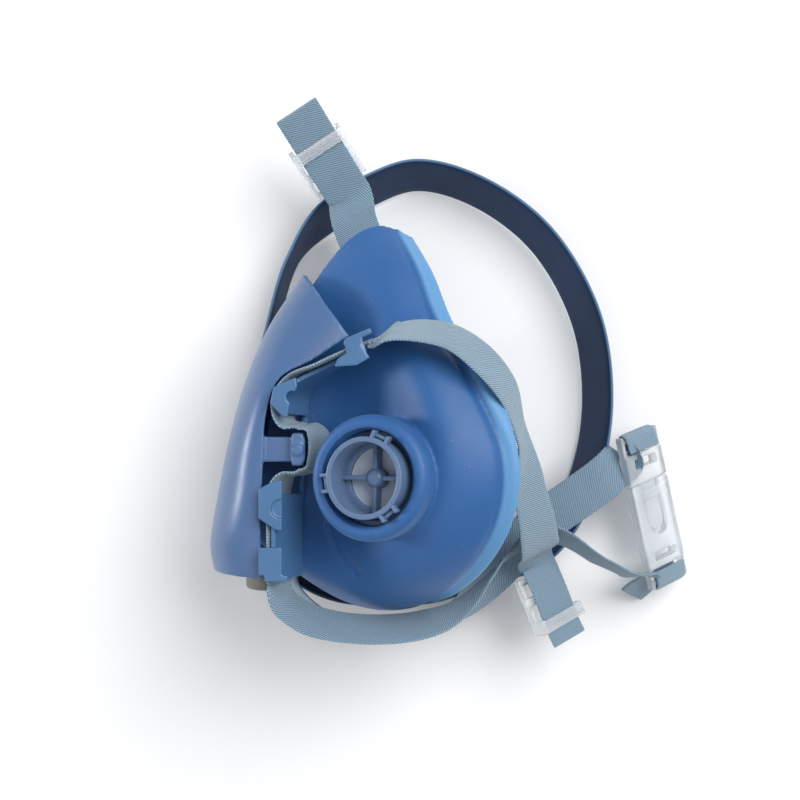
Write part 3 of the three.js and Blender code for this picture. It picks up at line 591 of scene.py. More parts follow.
def seal_opening():
    """What is cut out of the middle of the face seal."""
    inner = seal_half + (SEAL_MIDDLE - seal_half) * SEAL_INWARD
    loops = [inner + np.array([shift, 0, 0]) for shift in (-9, 9)]
    return lofted("opening", loops, SEAL_MIDDLE - (12, 0, 0), SEAL_MIDDLE + (12, 0, 0))


port_x = unit(np.cross((0, 1, 0), PORT_AXIS))
PORT_MATRIX = basis(port_x, np.cross(PORT_AXIS, port_x), PORT_AXIS, PORT_CENTRE)

COLLAR = [(0, -33), (22.2, -33), (22.2, -14), (23.3, -11.5), (23.5, -10), (23.5, -6.4), (23.1, -5),
          (22.2, -3.9), (20.8, -3.2), (19.2, -3.3), (18.4, -4), (0, -4)]
WELL = [(0, 2), (WELL_RADIUS + 0.6, 2), (WELL_RADIUS + 0.6, -4), (WELL_RADIUS, -5.2), (WELL_RADIUS, -10),
        (TUBE_RADIUS + 0.35, -10), (TUBE_RADIUS + 0.35, -18), (0, -18)]
CUP = [(0, -17.9), (FLANGE_RADIUS + 0.4, -17.9), (FLANGE_RADIUS + 0.4, -38), (0, -38)]
# The soft fold low on the cheek, seen from the wearer's left: [x, y].
CHEEK_FOLD = spline([(-27.5, -48), (-25.6, -55), (-22, -61.5), (-17, -66.5)], np.linspace(0, 1, 24))
FOLD_DEPTH = 1.3
FOLD_WIDTH = 1.7
LIP_HIGHLIGHT_WIDTH = 5.6                     # of the painted highlight along the lip


def at_port(target):
    """target moved from the origin to the left port."""
    return moved(target, PORT_MATRIX)


def facepiece():
    """The silicone shell: its bulge and both collars, hollowed and opened for the face."""
    voxel = 0.75
    collar = at_port(turned(COLLAR))
    outer = moulded(
        "facepiece_skin", [wall_solid("wall", 0), mirror_copy(collar, "collar"), collar], voxel, 6)
    inner = wall_solid("inner", SILICONE)
    for cutter in (inner, seal_opening()):
        combined(outer, cutter, "DIFFERENCE")
    for profile in (CUP, WELL):
        cutter = at_port(turned(profile))
        other = mirror_copy(cutter, "cutter")
        combined(outer, cutter, "DIFFERENCE")
        combined(outer, other, "DIFFERENCE")
    combined(outer, at_adapter(disc(ADAPTER_NECK + 0.35, -8, 8)), "DIFFERENCE")
    press_fold(outer)
    mark_lip_highlight(outer)
    return outer


def points_of(target):
    """The mesh's points, one row each."""
    points = np.zeros(len(target.data.vertices) * 3)
    target.data.vertices.foreach_get("co", points)
    return points.reshape(-1, 3)


def mark_lip_highlight(target):
    """Stores how near each point is to the lip of the face seal, which is painted paler as a highlight."""
    points = points_of(target)
    away = np.full(len(points), 1e9)
    for corner in seal_half:
        away = np.minimum(away, np.linalg.norm(points - corner, axis=1))
    attribute = target.data.attributes.new("rim", "FLOAT", "POINT")
    attribute.data.foreach_set("value", np.clip((LIP_HIGHLIGHT_WIDTH - away) / 1.6, 0, 1).astype(np.float32))


def press_fold(target):
    """Presses the soft fold into both cheeks."""
    points = points_of(target)
    away = np.min(np.linalg.norm(points[:, None, :2] - CHEEK_FOLD[None], axis=2), axis=1)
    depth = FOLD_DEPTH * np.exp(-(away / FOLD_WIDTH) ** 2) * (np.abs(points[:, 2]) > 12)
    points[:, 2] -= np.sign(points[:, 2]) * depth
    target.data.vertices.foreach_set("co", points.ravel())
    target.data.update()


# ---------------------------------------------------------------- exhalation valve, under the cover
ADAPTER_NECK = 7.6
ADAPTER_RADIUS = 16.5
ADAPTER_CENTRE = (-55.6, -28, 0)
ADAPTER_AXIS = unit((-FRONT_SLOPE[1], FRONT_SLOPE[0], 0))
ADAPTER_MATRIX = basis(np.cross(ADAPTER_AXIS, (0, 0, 1)), (0, 0, -1), ADAPTER_AXIS, ADAPTER_CENTRE)


def at_adapter(target):
    """target moved from the origin to the centre adapter, with its faces outwards."""
    return outward(moved(target, ADAPTER_MATRIX))


def exhalation_parts():
    """The adapter cup, the valve's seat and its flap."""
    cup = turned(rounded_profile([
        (5.8, -6), (ADAPTER_NECK, -6), (ADAPTER_NECK, 0.4), (ADAPTER_RADIUS, 0.4), (ADAPTER_RADIUS, 7.5),
        (ADAPTER_RADIUS - 1.8, 7.5), (ADAPTER_RADIUS - 1.8, 2.2), (5.8, 2.2)], 0.4))
    seat = [ring(12, ADAPTER_RADIUS - 2.1, 2.5, 4.3), disc(2.6, 2.5, 4.3), disc(0.9, 4.2, 7.4),
            disc(1.7, 7.3, 8.1)]
    seat += [block((25, 1.6, 1.8) if k else (1.6, 25, 1.8), (0, 0, 3.4)) for k in range(2)]
    flap = ring(1.3, 13.2, 4.6, 5.3, 0.2)
    return at_adapter(cup), at_adapter(joined("valve_seat", seat)), at_adapter(flap)


# ---------------------------------------------------------------- inhalation ports
LUG_COUNT = 3
FIRST_LUG = math.radians(68)
SPIDER_TOP = -10


def lug():
    """One bayonet lug along +X: two prongs and the bridge between them."""
    reach = WELL_RADIUS - 0.3 - TUBE_BORE - 0.8
    middle = TUBE_BORE + 0.8 + reach / 2
    prongs = [block((reach, 1.3, 3.4), (middle, side, -1.9), 0.3) for side in (-3, 3)]
    return prongs + [block((1.3, 6.4, 1.8), (TUBE_RADIUS + 0.9, 0, -2.6), 0.3)]


def port():
    """The bayonet tube with its flange, spider, hub and lugs."""
    parts = [
        ring(TUBE_BORE, TUBE_RADIUS, -18.6, 0, 0.45),
        ring(11.4, TUBE_BORE + 0.4, SEAT_BOTTOM, SEAT_BOTTOM + 1.9, 0.3),
        ring(TUBE_BORE, FLANGE_RADIUS, -20.4, -18.3, 0.4),
        turned([(0, SEAT_BOTTOM), (3.8, SEAT_BOTTOM), (3.8, -10.9), (3.6, -10.2), (3.1, -9.5), (2.2, -8.9),
                (1.2, -8.65), (0, -8.6)], 48),
        disc(1.0, -19.6, SEAT_BOTTOM + 0.2),
        disc(2, -20.4, -19.5)]
    height = SPIDER_TOP - SEAT_BOTTOM
    for turn in range(2):
        size = (1.7, 2 * TUBE_BORE + 0.6, height) if turn else (2 * TUBE_BORE + 0.6, 1.7, height)
        parts.append(block(size, (0, 0, SPIDER_TOP - height / 2), 0.35))
    for k in range(LUG_COUNT):
        turn = Matrix.Rotation(FIRST_LUG + k * 2 * math.pi / LUG_COUNT, 4, "Z")
        parts += [moved(piece, turn) for piece in lug()]
    return at_port(joined("port", parts))


def inhalation_flap():
    """The valve disc under the spider, a little thicker at its rim."""
    top = SEAT_BOTTOM - FLAP_GAP
    low = top - FLAP_THICKNESS
    section = [(1.4, low), (12.6, low), (12.6, top), (11.6, top), (11, top - 0.25), (1.4, top - 0.25)]
    return at_port(turned(rounded_profile(section, 0.2)))


def gasket():
    """The seal at the bottom of the collar's well."""
    return at_port(ring(TUBE_RADIUS + 0.3, WELL_RADIUS - 0.3, -9.7, -8.4, 0.4))


# ---------------------------------------------------------------- front cover
COVER_FRONT = [(-38.8, 50, 0), (-53, 28, 0), (-62, 6, 0), (-68, -16, 0), (-72.5, -38, 0), (-75.5, -58, 0),
               (-74, -67, 0)]
COVER_EDGE = [(-19.5, 24.5, 26), (-33, 15.5, 28), (-46, 8, 29.5), (-51, -6, 30.5), (-52, -24, 31),
              (-53, -44, 31), (-52.5, -68, 29)]
COVER_ROWS = 72
COVER_COLUMNS = 80
TAB_OUTLINE = [(-41, -12.5), (-36.8, -12.5), (-35.9, -15), (-35.9, -22.4), (-37, -24.8), (-41, -24.8)]
TAB_BRIDGE = [(-54, -14), (-39, -14), (-39, -23.5), (-54, -23.5)]
BOSS_PLACE = (-38.6, -18.8)


def cover_grid(inset):
    """Points of the arched cover, row by row from its peak down, each row from one side to the other."""
    times = np.linspace(0, 1, COVER_ROWS)
    fronts, edges = spline(COVER_FRONT, times), spline(COVER_EDGE, times)
    angles = (np.linspace(0, 1, COVER_COLUMNS) - 0.5) * math.pi
    back = 1 - np.cos(angles)
    rows = []
    for front, edge in zip(fronts, edges):
        rows.append(np.stack([
            front[0] + inset + (edge[0] - front[0] - inset) * back,
            front[1] - inset * 0.25 * (1 - back) + (edge[1] - front[1]) * back,
            (edge[2] - inset) * np.sin(angles)], axis=1))
    return np.array(rows)


def front_cover():
    """The smooth arched cover with a tab on each side that holds the webbing."""
    outer, inner = cover_grid(0), cover_grid(COVER_THICKNESS)
    loops = [np.concatenate([front, back[::-1]]) for front, back in zip(outer, inner)]
    shell = lofted("shell", loops)
    parts = [shell]
    for side in (1, -1):
        tab = [plate(TAB_OUTLINE, 21, 34, 0.6), plate(TAB_BRIDGE, 27.6, 30),
               moved(disc(2.3, 0, 1.6, 0.5), Matrix.Translation((*BOSS_PLACE, 33.4)))]
        for piece in tab:
            parts.append(piece if side > 0 else outward(moved(piece, Matrix.Diagonal((1, 1, -1, 1)))))
    return moulded("cover_skin", parts, 0.5, 2)


# ---------------------------------------------------------------- bands and webbing
def band_frames(stops, steps, closed=False):
    """Along a route of (x, y, z, wx, wy, wz) stops: points, width directions, faces and distances run."""
    stops = np.array([stop[:6] for stop in stops], float)
    times = np.arange(steps) / steps if closed else np.linspace(0, 1, steps + 1)
    centres = spline(stops[:, :3], times, closed)
    sides = spline(unit(stops[:, 3:6]), times, closed)
    if closed:
        along = unit(np.roll(centres, -1, axis=0) - np.roll(centres, 1, axis=0))
    else:
        along = unit(np.gradient(centres, axis=0))
    sides = unit(sides - along * np.sum(sides * along, axis=1, keepdims=True))
    faces = unit(np.cross(along, sides))
    run = np.concatenate([[0], np.cumsum(np.linalg.norm(np.diff(centres, axis=0), axis=1))])
    return centres, sides, faces, run


def band(name, stops, steps, width, thickness, closed=False, columns=14, ripple=0.0):
    """A flat band with rounded edges. Its map runs along the band, then across it, in millimetres."""
    centres, sides, faces, run = band_frames(stops, steps, closed)
    across = -np.cos(np.linspace(0, math.pi, columns + 1))
    bulge = np.sqrt(np.clip(1 - np.abs(across) ** 10, 0, 1))
    section = [(a, b) for a, b in zip(across, bulge)]
    section += [(a, -b) for a, b in zip(across[-2:0:-1], bulge[-2:0:-1])]
    points, uv = [], []
    for centre, side, face, distance in zip(centres, sides, faces, run):
        edge = 1 + ripple * math.sin(distance * 2.4) / width
        for a, b in section:
            points.append(centre + side * a * edge * width / 2 + face * b * thickness / 2)
            uv.append((distance, a * width / 2))
    count = len(section)
    loops = grid_faces(len(centres), count, wrap_rows=closed, wrap_columns=True)
    if not closed:
        loops += [tuple(range(count)), tuple((len(centres) - 1) * count + k for k in range(count))]
    return outward(new_object(name, points, loops, uv))


# ---------------------------------------------------------------- harness rail
RAIL_LEAN = (-0.42, 0, 0.91)        # the webbing stands on edge in the rail, leaning back
RAIL_MIDDLE = 24.4
WALL_WIDTH = 22
WALL_MIDDLE = 23.6
WALL_THICKNESS = 1.7
UPPER_WALL = [(-14, 17, 7), (-25, 11.8, 10), (-33.6, 7.6, 16), (-40, 2.4, 22), (-41.2, -5.6, 22)]
LOWER_WALL = [(-43, -36, 22), (-43.4, -44, 22), (-43.4, -56, 22), (-43.2, -68.5, 22)]
PAD_ONE = [(-47.6, 4.9), (-39.2, 8.6), (-38.6, 5.2), (-41.4, -1), (-42.4, -6.8), (-44, -6.4), (-49, -1.5)]
PAD_TWO = [(-53.3, -33.6), (-49.6, -31.6), (-44.4, -30.2), (-44.4, -49.1), (-46.5, -49.1), (-53.3, -44.6)]
FOOT_PAD = [(-53.3, -55.6), (-44.4, -55.6), (-44.4, -66), (-42.4, -66), (-42.4, -68.5), (-51, -68.5),
            (-51, -66), (-53.3, -66)]
NOTCH_PLACE = (-40.6, 1.2)
NOTCH_RADIUS = 2.2
RECESS_PLACE = (-44.9, -41)
RECESS_RADIUS = 3.6
GUIDE_CENTRE = (-16.6, 19.7, 35.5)
GUIDE_HEADING = 0.36
GUIDE_LENGTH = 7
GUIDE_SLOT = 21.4
GUIDE_FLANGE = [(-20.4, 22.6), (-10.9, 26.6), (-10.3, 24.6), (-19.8, 20.6)]
GUIDE_LIP = [(-24.1, 12.2), (-23, 15.1), (-14.6, 20.6), (-11, 15.6), (-16, 12.7)]


def wall(points):
    """A standing wall of the rail, its upper edge level with the pads."""
    stops = []
    for x, y, width in points:
        drop = (WALL_WIDTH - width) / 2
        stops.append((x + RAIL_LEAN[0] * drop, y, WALL_MIDDLE + RAIL_LEAN[2] * drop, *RAIL_LEAN))
    widths = np.interp(np.linspace(0, 1, 41), np.linspace(0, 1, len(points)), [p[2] for p in points])
    centres, sides, faces, _ = band_frames(stops, 40)
    loops = []
    for centre, side, face, width in zip(centres, sides, faces, widths):
        loops.append([centre + side * a * width / 2 + face * b * WALL_THICKNESS / 2
                      for a, b in ((-1, -1), (0, -1), (1, -1), (1, 1), (0, 1), (-1, 1))])
    return lofted("wall", loops)


def webbing_guide():
    """The closed loop where the webbing leaves the rail, with its flange and lip."""
    outer = block((GUIDE_LENGTH, 6.6, GUIDE_SLOT + 3.4), (0, 0, 0), 0.5)
    slot = block((GUIDE_LENGTH + 2, 3.2, GUIDE_SLOT), (0, 0, 0), 0)
    guide = combined(outer, slot, "DIFFERENCE")
    place = Matrix.Translation(GUIDE_CENTRE) @ Matrix.Rotation(GUIDE_HEADING, 4, "Z")
    top = GUIDE_CENTRE[2] + GUIDE_SLOT / 2 + 1.7
    flange = plate(GUIDE_FLANGE, top - 4, top, 0.3)
    return [moved(guide, place), flange, plate(GUIDE_LIP, top - 1.4, top + 0.3, 0.3)]


def harness_rail():
    """The bracket that carries the webbing down the side of the facepiece."""
    lift = RAIL_TOP + PAD_THICKNESS
    pads = [plate(outline, RAIL_TOP, lift, 0.35) for outline in (PAD_ONE, PAD_TWO, FOOT_PAD)]
    notch = moved(disc(NOTCH_RADIUS, -4, 4, 0.1), Matrix.Translation((*NOTCH_PLACE, lift)))
    recess = moved(disc(RECESS_RADIUS, -1, 4, 0.1), Matrix.Translation((*RECESS_PLACE, lift)))
    combined(pads[0], notch, "DIFFERENCE")
    combined(pads[1], recess, "DIFFERENCE")
    link_stops = [(-37, -3.5), (-37.3, -14), (-37.6, -24), (-39, -37.5)]
    link = band("link", [(x, y, 12.9, *RAIL_LEAN) for x, y in link_stops], 24, 2.6, 2.4)
    parts = [wall(UPPER_WALL), wall(LOWER_WALL), link, *webbing_guide(), *pads]
    return moulded("harness_rail", parts, 0.36, 2)


# ---------------------------------------------------------------- strap adjusters
ADJUSTER_LENGTH = 22.5
ADJUSTER_HALF_WIDTH = 12.2
ADJUSTER_WALL = 2.2
HINGE_BAR_RADIUS = 1.3
WEBBING_OVER_HINGE = 3.9
UPPER_ADJUSTER = {"hinge": np.array([-25.1, 91.3, -28]), "along": unit([-0.476, 0.723, 0.5]),
                  "across": unit([0.835, 0.55, 0]), "tail": 38}
LOWER_ADJUSTER = {"hinge": np.array([57.1, -73.4, -26.5]), "along": unit([0.376, -0.927, 0]),
                  "across": unit([-0.73, -0.296, 0.616]), "tail": 29}


def adjuster_matrix(place):
    """The hinge bar along X, the tail end towards +Y and the webbing above."""
    up = unit(np.cross(place["across"], place["along"]))
    return basis(place["across"], place["along"], up, place["hinge"])


def adjuster(name, place):
    """A buckle frame whose raised, ribbed crossbar grips the webbing."""
    reach = ADJUSTER_LENGTH + 1.8
    wide = ADJUSTER_HALF_WIDTH - ADJUSTER_WALL / 2
    parts = []
    for side in (-1, 1):
        parts.append(block((ADJUSTER_WALL, reach, 3.2), (side * wide, reach / 2 - 1.8, 0), 0.7))
        parts.append(block((ADJUSTER_WALL, 6, 6.6), (side * wide, ADJUSTER_LENGTH - 3, 3.2), 0.7))
    bar = moved(disc(HINGE_BAR_RADIUS, -11.5, 11.5, 0.2), Matrix.Rotation(math.pi / 2, 4, "Y"))
    back_bar = block((2 * wide + 1.2, 3.4, 3.2), (0, 8.5, 0.6), 0.7)
    crossbar = block((2 * wide + 1.2, 5.4, 1.8), (0, ADJUSTER_LENGTH - 2.8, 5.7), 0.7)
    ribs = [block((2 * wide - 1, 0.6, 0.9), (0, ADJUSTER_LENGTH - 2.4 + shift, 6.5), 0.2)
            for shift in (-1.2, 0, 1.2)]
    fused = moulded(name, [*parts, bar, back_bar, crossbar, *ribs], 0.26, 4)
    return moved(fused, adjuster_matrix(place))


def over_adjuster(place, distances):
    """Webbing stops across an adjuster, at distances from its hinge towards the tail."""
    matrix = adjuster_matrix(place)
    stops = []
    for distance, lift in distances:
        point = matrix @ Vector((0, distance, WEBBING_OVER_HINGE + lift))
        stops.append((*point, *place["across"]))
    return stops


# ---------------------------------------------------------------- head cradle
# The band's upper edge, a closed oval, from its upper end round the back: [x, y].
CRADLE_EDGE = [(-33.9, 83.6), (-14.8, 95.4), (6.4, 102.2), (33.9, 95.4), (63.6, 74.2), (84.8, 38.2),
               (90.4, 0), (84.8, -33.9), (72.1, -59.4), (61.5, -70), (49.2, -75.1), (36, -78.5), (12.7, -86),
               (-30, -84.5), (-52, -70), (-61, -42), (-63, -17), (-62, 8), (-57, 30), (-47.5, 61.5)]
CRADLE_MIDDLE = np.array([18, 8])
CRADLE_LEAN = 0.42
CRADLE_TOP = -36.5
LEANING_STOPS = 10                  # the stops round the back lean out most
LOOP_LENGTH = 7


def cradle_stop(index, x, y):
    """A stop in the middle of the band, below a point of its upper edge."""
    lean = CRADLE_LEAN if index < LEANING_STOPS else CRADLE_LEAN * 0.25
    out = unit(np.array([x, y]) - CRADLE_MIDDLE)
    across = np.array([out[0] * math.sin(lean), out[1] * math.sin(lean), math.cos(lean)])
    middle = np.array([x, y, CRADLE_TOP]) - across * CRADLE_WIDTH / 2
    return (*middle, *across)


def cradle_loop(place):
    """The post and bored loop that hold an adjuster's hinge bar."""
    hinge, across = place["hinge"], place["across"]
    swing = Vector((0, 0, 1)).rotation_difference(Vector(across)).to_matrix().to_4x4()
    tube = ring(HINGE_BAR_RADIUS + 0.35, HINGE_BAR_RADIUS + 1.6, -LOOP_LENGTH / 2, LOOP_LENGTH / 2, 0.3)
    loop = moved(tube, Matrix.Translation(hinge) @ swing)
    height = hinge[2] - HINGE_BAR_RADIUS - CRADLE_TOP + 1.6
    post = block((LOOP_LENGTH - 1, CRADLE_THICKNESS, height), (0, 0, 0), 0.4)
    heading = Matrix.Rotation(math.atan2(across[1], across[0]), 4, "Z")
    foot = Matrix.Translation((hinge[0], hinge[1], CRADLE_TOP - 2 + height / 2))
    return [loop, moved(post, foot @ heading)]


def head_cradle():
    """The springy band that rings the back of the head, with the two adjusters' posts."""
    stops = [cradle_stop(k, x, y) for k, (x, y) in enumerate(CRADLE_EDGE)]
    oval = band("oval", stops, 300, CRADLE_WIDTH, CRADLE_THICKNESS, closed=True, columns=18)
    posts = [piece for place in (UPPER_ADJUSTER, LOWER_ADJUSTER) for piece in cradle_loop(place)]
    return joined("cradle", [oval, *posts])


# ---------------------------------------------------------------- neck buckle
BUCKLE_TOP = np.array([100.5, -15.8, -37])
BUCKLE_BOTTOM = np.array([115, -76, -46])
BUCKLE_LENGTH = float(np.linalg.norm(BUCKLE_BOTTOM - BUCKLE_TOP))
BUCKLE_HALF_WIDTH = 11
BUCKLE_HALF_THICKNESS = 2.6
HOOK_BODY_END = 19
TONGUE_END = 41
TONGUE_HALF_WIDTH = 4.8
STRAP_BAR_RADIUS = 1.5
buckle_along = unit(BUCKLE_BOTTOM - BUCKLE_TOP)
buckle_up = np.array([0.56, 0.13, 0.82])
buckle_normal = unit(buckle_up - buckle_along * np.dot(buckle_up, buckle_along))
BUCKLE_MATRIX = basis(unit(np.cross(buckle_along, buckle_normal)), buckle_along, buckle_normal, BUCKLE_TOP)


def strap_bar(bar_y, body_y):
    """A bar across the buckle with an arm each side, joined to a body that starts at body_y."""
    bar = moved(disc(STRAP_BAR_RADIUS, -10.4, 10.4, 0.2),
                Matrix.Translation((0, bar_y, 0)) @ Matrix.Rotation(math.pi / 2, 4, "Y"))
    toward = math.copysign(1, bar_y - body_y)
    length = abs(bar_y - body_y) + 3.4
    middle = body_y + toward * (length / 2 - 1)
    arms = [block((2, length, 3.6), (side * (BUCKLE_HALF_WIDTH - 1), middle, 0), 0.6) for side in (-1, 1)]
    return [bar, *arms]


def buckle_hook():
    """The half with the tongue."""
    wide = BUCKLE_HALF_WIDTH
    body = block(
        (2 * wide, HOOK_BODY_END - 6, 2 * BUCKLE_HALF_THICKNESS), (0, (HOOK_BODY_END + 6) / 2, 0), 1.0)
    window = block((2 * wide - 9, 4, 8), (0, 10.5, 0), 0.5)
    combined(body, window, "DIFFERENCE")
    length = TONGUE_END - TONGUE_HALF_WIDTH - HOOK_BODY_END + 2
    tongue = block((2 * TONGUE_HALF_WIDTH, length, 2), (0, HOOK_BODY_END - 2 + length / 2, 0.2), 0.4)
    tip_place = Matrix.Translation((0, TONGUE_END - TONGUE_HALF_WIDTH, 0))
    tip = moved(disc(TONGUE_HALF_WIDTH, -0.8, 1.2, 0.4), tip_place)
    fused = moulded("hook", [body, tongue, tip, *strap_bar(0, 6)], 0.32, 2)
    return moved(fused, BUCKLE_MATRIX)


def buckle_socket():
    """The half that takes the tongue, with an arch-ended channel."""
    start, end = HOOK_BODY_END + 0.3, BUCKLE_LENGTH - 6
    wide = BUCKLE_HALF_WIDTH
    body = block((2 * wide, end - start, 2 * BUCKLE_HALF_THICKNESS), (0, (end + start) / 2, 0), 1.0)
    channel_end = TONGUE_END + 1.5 - TONGUE_HALF_WIDTH
    half = TONGUE_HALF_WIDTH + 0.4
    channel = block((2 * half, channel_end - start + 2, 5), (0, (channel_end + start) / 2 - 1, 1.3), 0)
    arch = moved(disc(half, -1.2, 3.8, 0.05), Matrix.Translation((0, channel_end, 0)))
    for cutter in (channel, arch, block((2 * wide - 9, 3.4, 8), (0, end - 5, 0), 0.5)):
        combined(body, cutter, "DIFFERENCE")
    cover = block((2 * wide - 1, 4, 1), (0, start + 5, 2.3), 0.3)
    fused = moulded("socket", [body, cover, *strap_bar(BUCKLE_LENGTH, end)], 0.32, 2)
    return moved(fused, BUCKLE_MATRIX)


FOLD_RADIUS = STRAP_BAR_RADIUS + 0.5 + WEBBING_THICKNESS / 2
FOLD_START = 5


def bar_loop_stops(bar_y):
    """Webbing stops round a strap bar: under the buckle, round the bar's outer side, and back on top."""
    toward = -1 if bar_y < BUCKLE_LENGTH / 2 else 1
    stops = [(0, bar_y - toward * FOLD_START, -FOLD_RADIUS - 0.6), (0, bar_y - toward * 2, -FOLD_RADIUS - 0.2)]
    for k in range(5):
        angle = -math.pi / 2 + k * math.pi / 4
        out, up = FOLD_RADIUS * math.cos(angle), FOLD_RADIUS * math.sin(angle)
        stops.append((0, bar_y + toward * out, up))
    stops += [(0, bar_y - toward * 2, FOLD_RADIUS + 0.2), (0, bar_y - toward * FOLD_START, FOLD_RADIUS + 0.6)]
    across = BUCKLE_MATRIX.to_3x3() @ Vector((1, 0, 0))
    return [(*(BUCKLE_MATRIX @ Vector(stop)), *across) for stop in stops]


# ---------------------------------------------------------------- webbing
GUIDE_EXIT = (-10.4, 22.1, 35.6, 0, 0, 1)
RAIL_ROUTE = [(-12.4, 21.3, 35.5), (-17.6, 19.4, 35.5), (-29, 14.3, 31.5), (-38.6, 9.2, 25.4),
              (-43.6, 3, RAIL_MIDDLE), (-44.6, -4, RAIL_MIDDLE), (-42.5, -8.6, RAIL_MIDDLE),
              (-38, -9.9, RAIL_MIDDLE), (-33.8, -11, RAIL_MIDDLE), (-31, -14.5, RAIL_MIDDLE),
              (-31, -22, RAIL_MIDDLE), (-33.5, -26, RAIL_MIDDLE), (-38, -27.8, RAIL_MIDDLE),
              (-43, -29.3, RAIL_MIDDLE), (-46, -33.5, RAIL_MIDDLE), (-46.4, -42, RAIL_MIDDLE),
              (-46.4, -56, RAIL_MIDDLE), (-46.2, -70, RAIL_MIDDLE)]
rail_widths = [(0, 0, 1), (0, 0, 1), (-0.06, 0, 0.99)] + [RAIL_LEAN] * (len(RAIL_ROUTE) - 3)
RAIL_STOPS = [(*point, *side) for point, side in zip(RAIL_ROUTE, rail_widths)]
LEFT_UPPER = [(-12.4, 21.3, 35.5, 0, 0, 1), GUIDE_EXIT, (-8.2, 23, 36, 0.03, -0.06, 1),
              (-3, 25.3, 40.6, 0.06, -0.3, 0.95), (7.5, 25.8, 43, 0, -0.47, 0.88),
              (19.4, 23.2, 43.5, -0.19, -0.51, 0.84), (30, 15.8, 43, -0.41, -0.42, 0.81),
              (40.6, 3.6, 36, -0.38, -0.32, 0.87), (46.4, -13, 25.5, -0.24, -0.15, 0.96),
              (50.4, -33.9, 13.5, -0.66, -0.1, 0.74), (54.5, -50, 4, -0.74, -0.1, 0.66),
              (56.6, -60, -7, -0.74, -0.2, 0.64)]
LEFT_LOWER = [(-46.1, -73.4, 24.3, *RAIL_LEAN), (-44, -78.2, 22.5, -0.4, -0.15, 0.9),
              (-36, -84.5, 19, -0.25, -0.4, 0.88), (-20, -89, 14, -0.05, -0.46, 0.89),
              (0, -90, 8, 0, -0.45, 0.89), (13, -88, 3, 0.1, -0.4, 0.9), (24, -83, -4, 0.1, -0.2, 0.95),
              (35, -73.5, -14, 0, 0, 1), (46, -63, -20.5, 0, 0.3, 0.95), (55, -57.5, -22, 0.05, 0.6, 0.8),
              (66, -57, -22.4, -0.1, 0.45, 0.9), (84, -67.5, -27, -0.1, 0.3, 0.95),
              (97, -73.5, -33, -0.2, 0.2, 0.95), (104.5, -74.5, -38, -0.4, 0.1, 0.9)]
RIGHT_UPPER = [(-12.4, 21.3, -35.5, 0, 0, -1), (-10.4, 22.1, -35.6, 0, 0, -1),
               (-8.2, 23.1, -36, 0.03, -0.05, -1), (-4, 27, -41, 0.5, -0.4, -0.75),
               (-3, 37, -39.5, 0.85, -0.1, -0.5), (-8, 50, -35, 0.95, 0.25, -0.15),
               (-15, 64, -31, 0.9, 0.42, 0), (-19.5, 76, -29, 0.85, 0.52, 0)]
RIGHT_LOWER = [(-46.1, -73.4, -24.3, RAIL_LEAN[0], 0, -RAIL_LEAN[2]),
               (-43.5, -79, -24, -0.3, -0.2, -0.93), (-34, -87, -25, -0.1, -0.2, -0.95),
               (-15, -94, -26, 0, -0.1, -0.98), (8, -94.5, -26.5, 0, -0.2, -0.96),
               (24, -88, -28, 0.25, -0.5, -0.8), (36, -77, -31, 0.5, -0.7, -0.45),
               (47, -64, -32.6, 0.65, -0.75, 0)]
RIGHT_NECK = [(62, -50, -33, 0.6, -0.8, 0), (78, -39, -33.4, 0.56, -0.83, 0), (88, -31.5, -34, 0.56, -0.83, 0)]


def webbing_strip(name, stops, steps, width=WEBBING_WIDTH):
    """Webbing along a route, with the slight waviness of a woven edge."""
    return band(name, stops, steps, width, WEBBING_THICKNESS, columns=18, ripple=0.12)


def mirrored_stops(stops):
    """The same stops on the other side of the mid-plane."""
    return [(x, y, -z, wx, wy, -wz) for x, y, z, wx, wy, wz in stops]


def adjusted_strap(name, stops, place, tail):
    """An upper strap that crosses its adjuster and ends in a free tail."""
    across = over_adjuster(place, [(-6.5, 0), (-1, 0), (5, 0.3), (12, 0.2), (18, -0.2), (24, 0), (tail, 0.6)])
    return webbing_strip(name, [*stops, *across], 260)


# The end of the neck webbing, left over below the socket's bar.
NECK_TAIL = [(109, -77.2, -47.6, 0.9, 0.1, -0.4), (105, -80.4, -49.6, 0.9, 0.1, -0.4),
             (100.5, -84.5, -51.5, 0.88, 0.05, -0.46)]


def painted_warm_reflection():
    """A curved warm grey band that shows below the cover: a painted reflection of the warm surface under the
    mask.
    """
    stops = [(-50 - 10.5 * math.cos(angle), -70, 15 * math.sin(angle), 0, 1, 0)
             for angle in np.radians(range(-80, 81, 16))]
    return band("painted_warm_reflection", stops, 60, 9, 1.8)


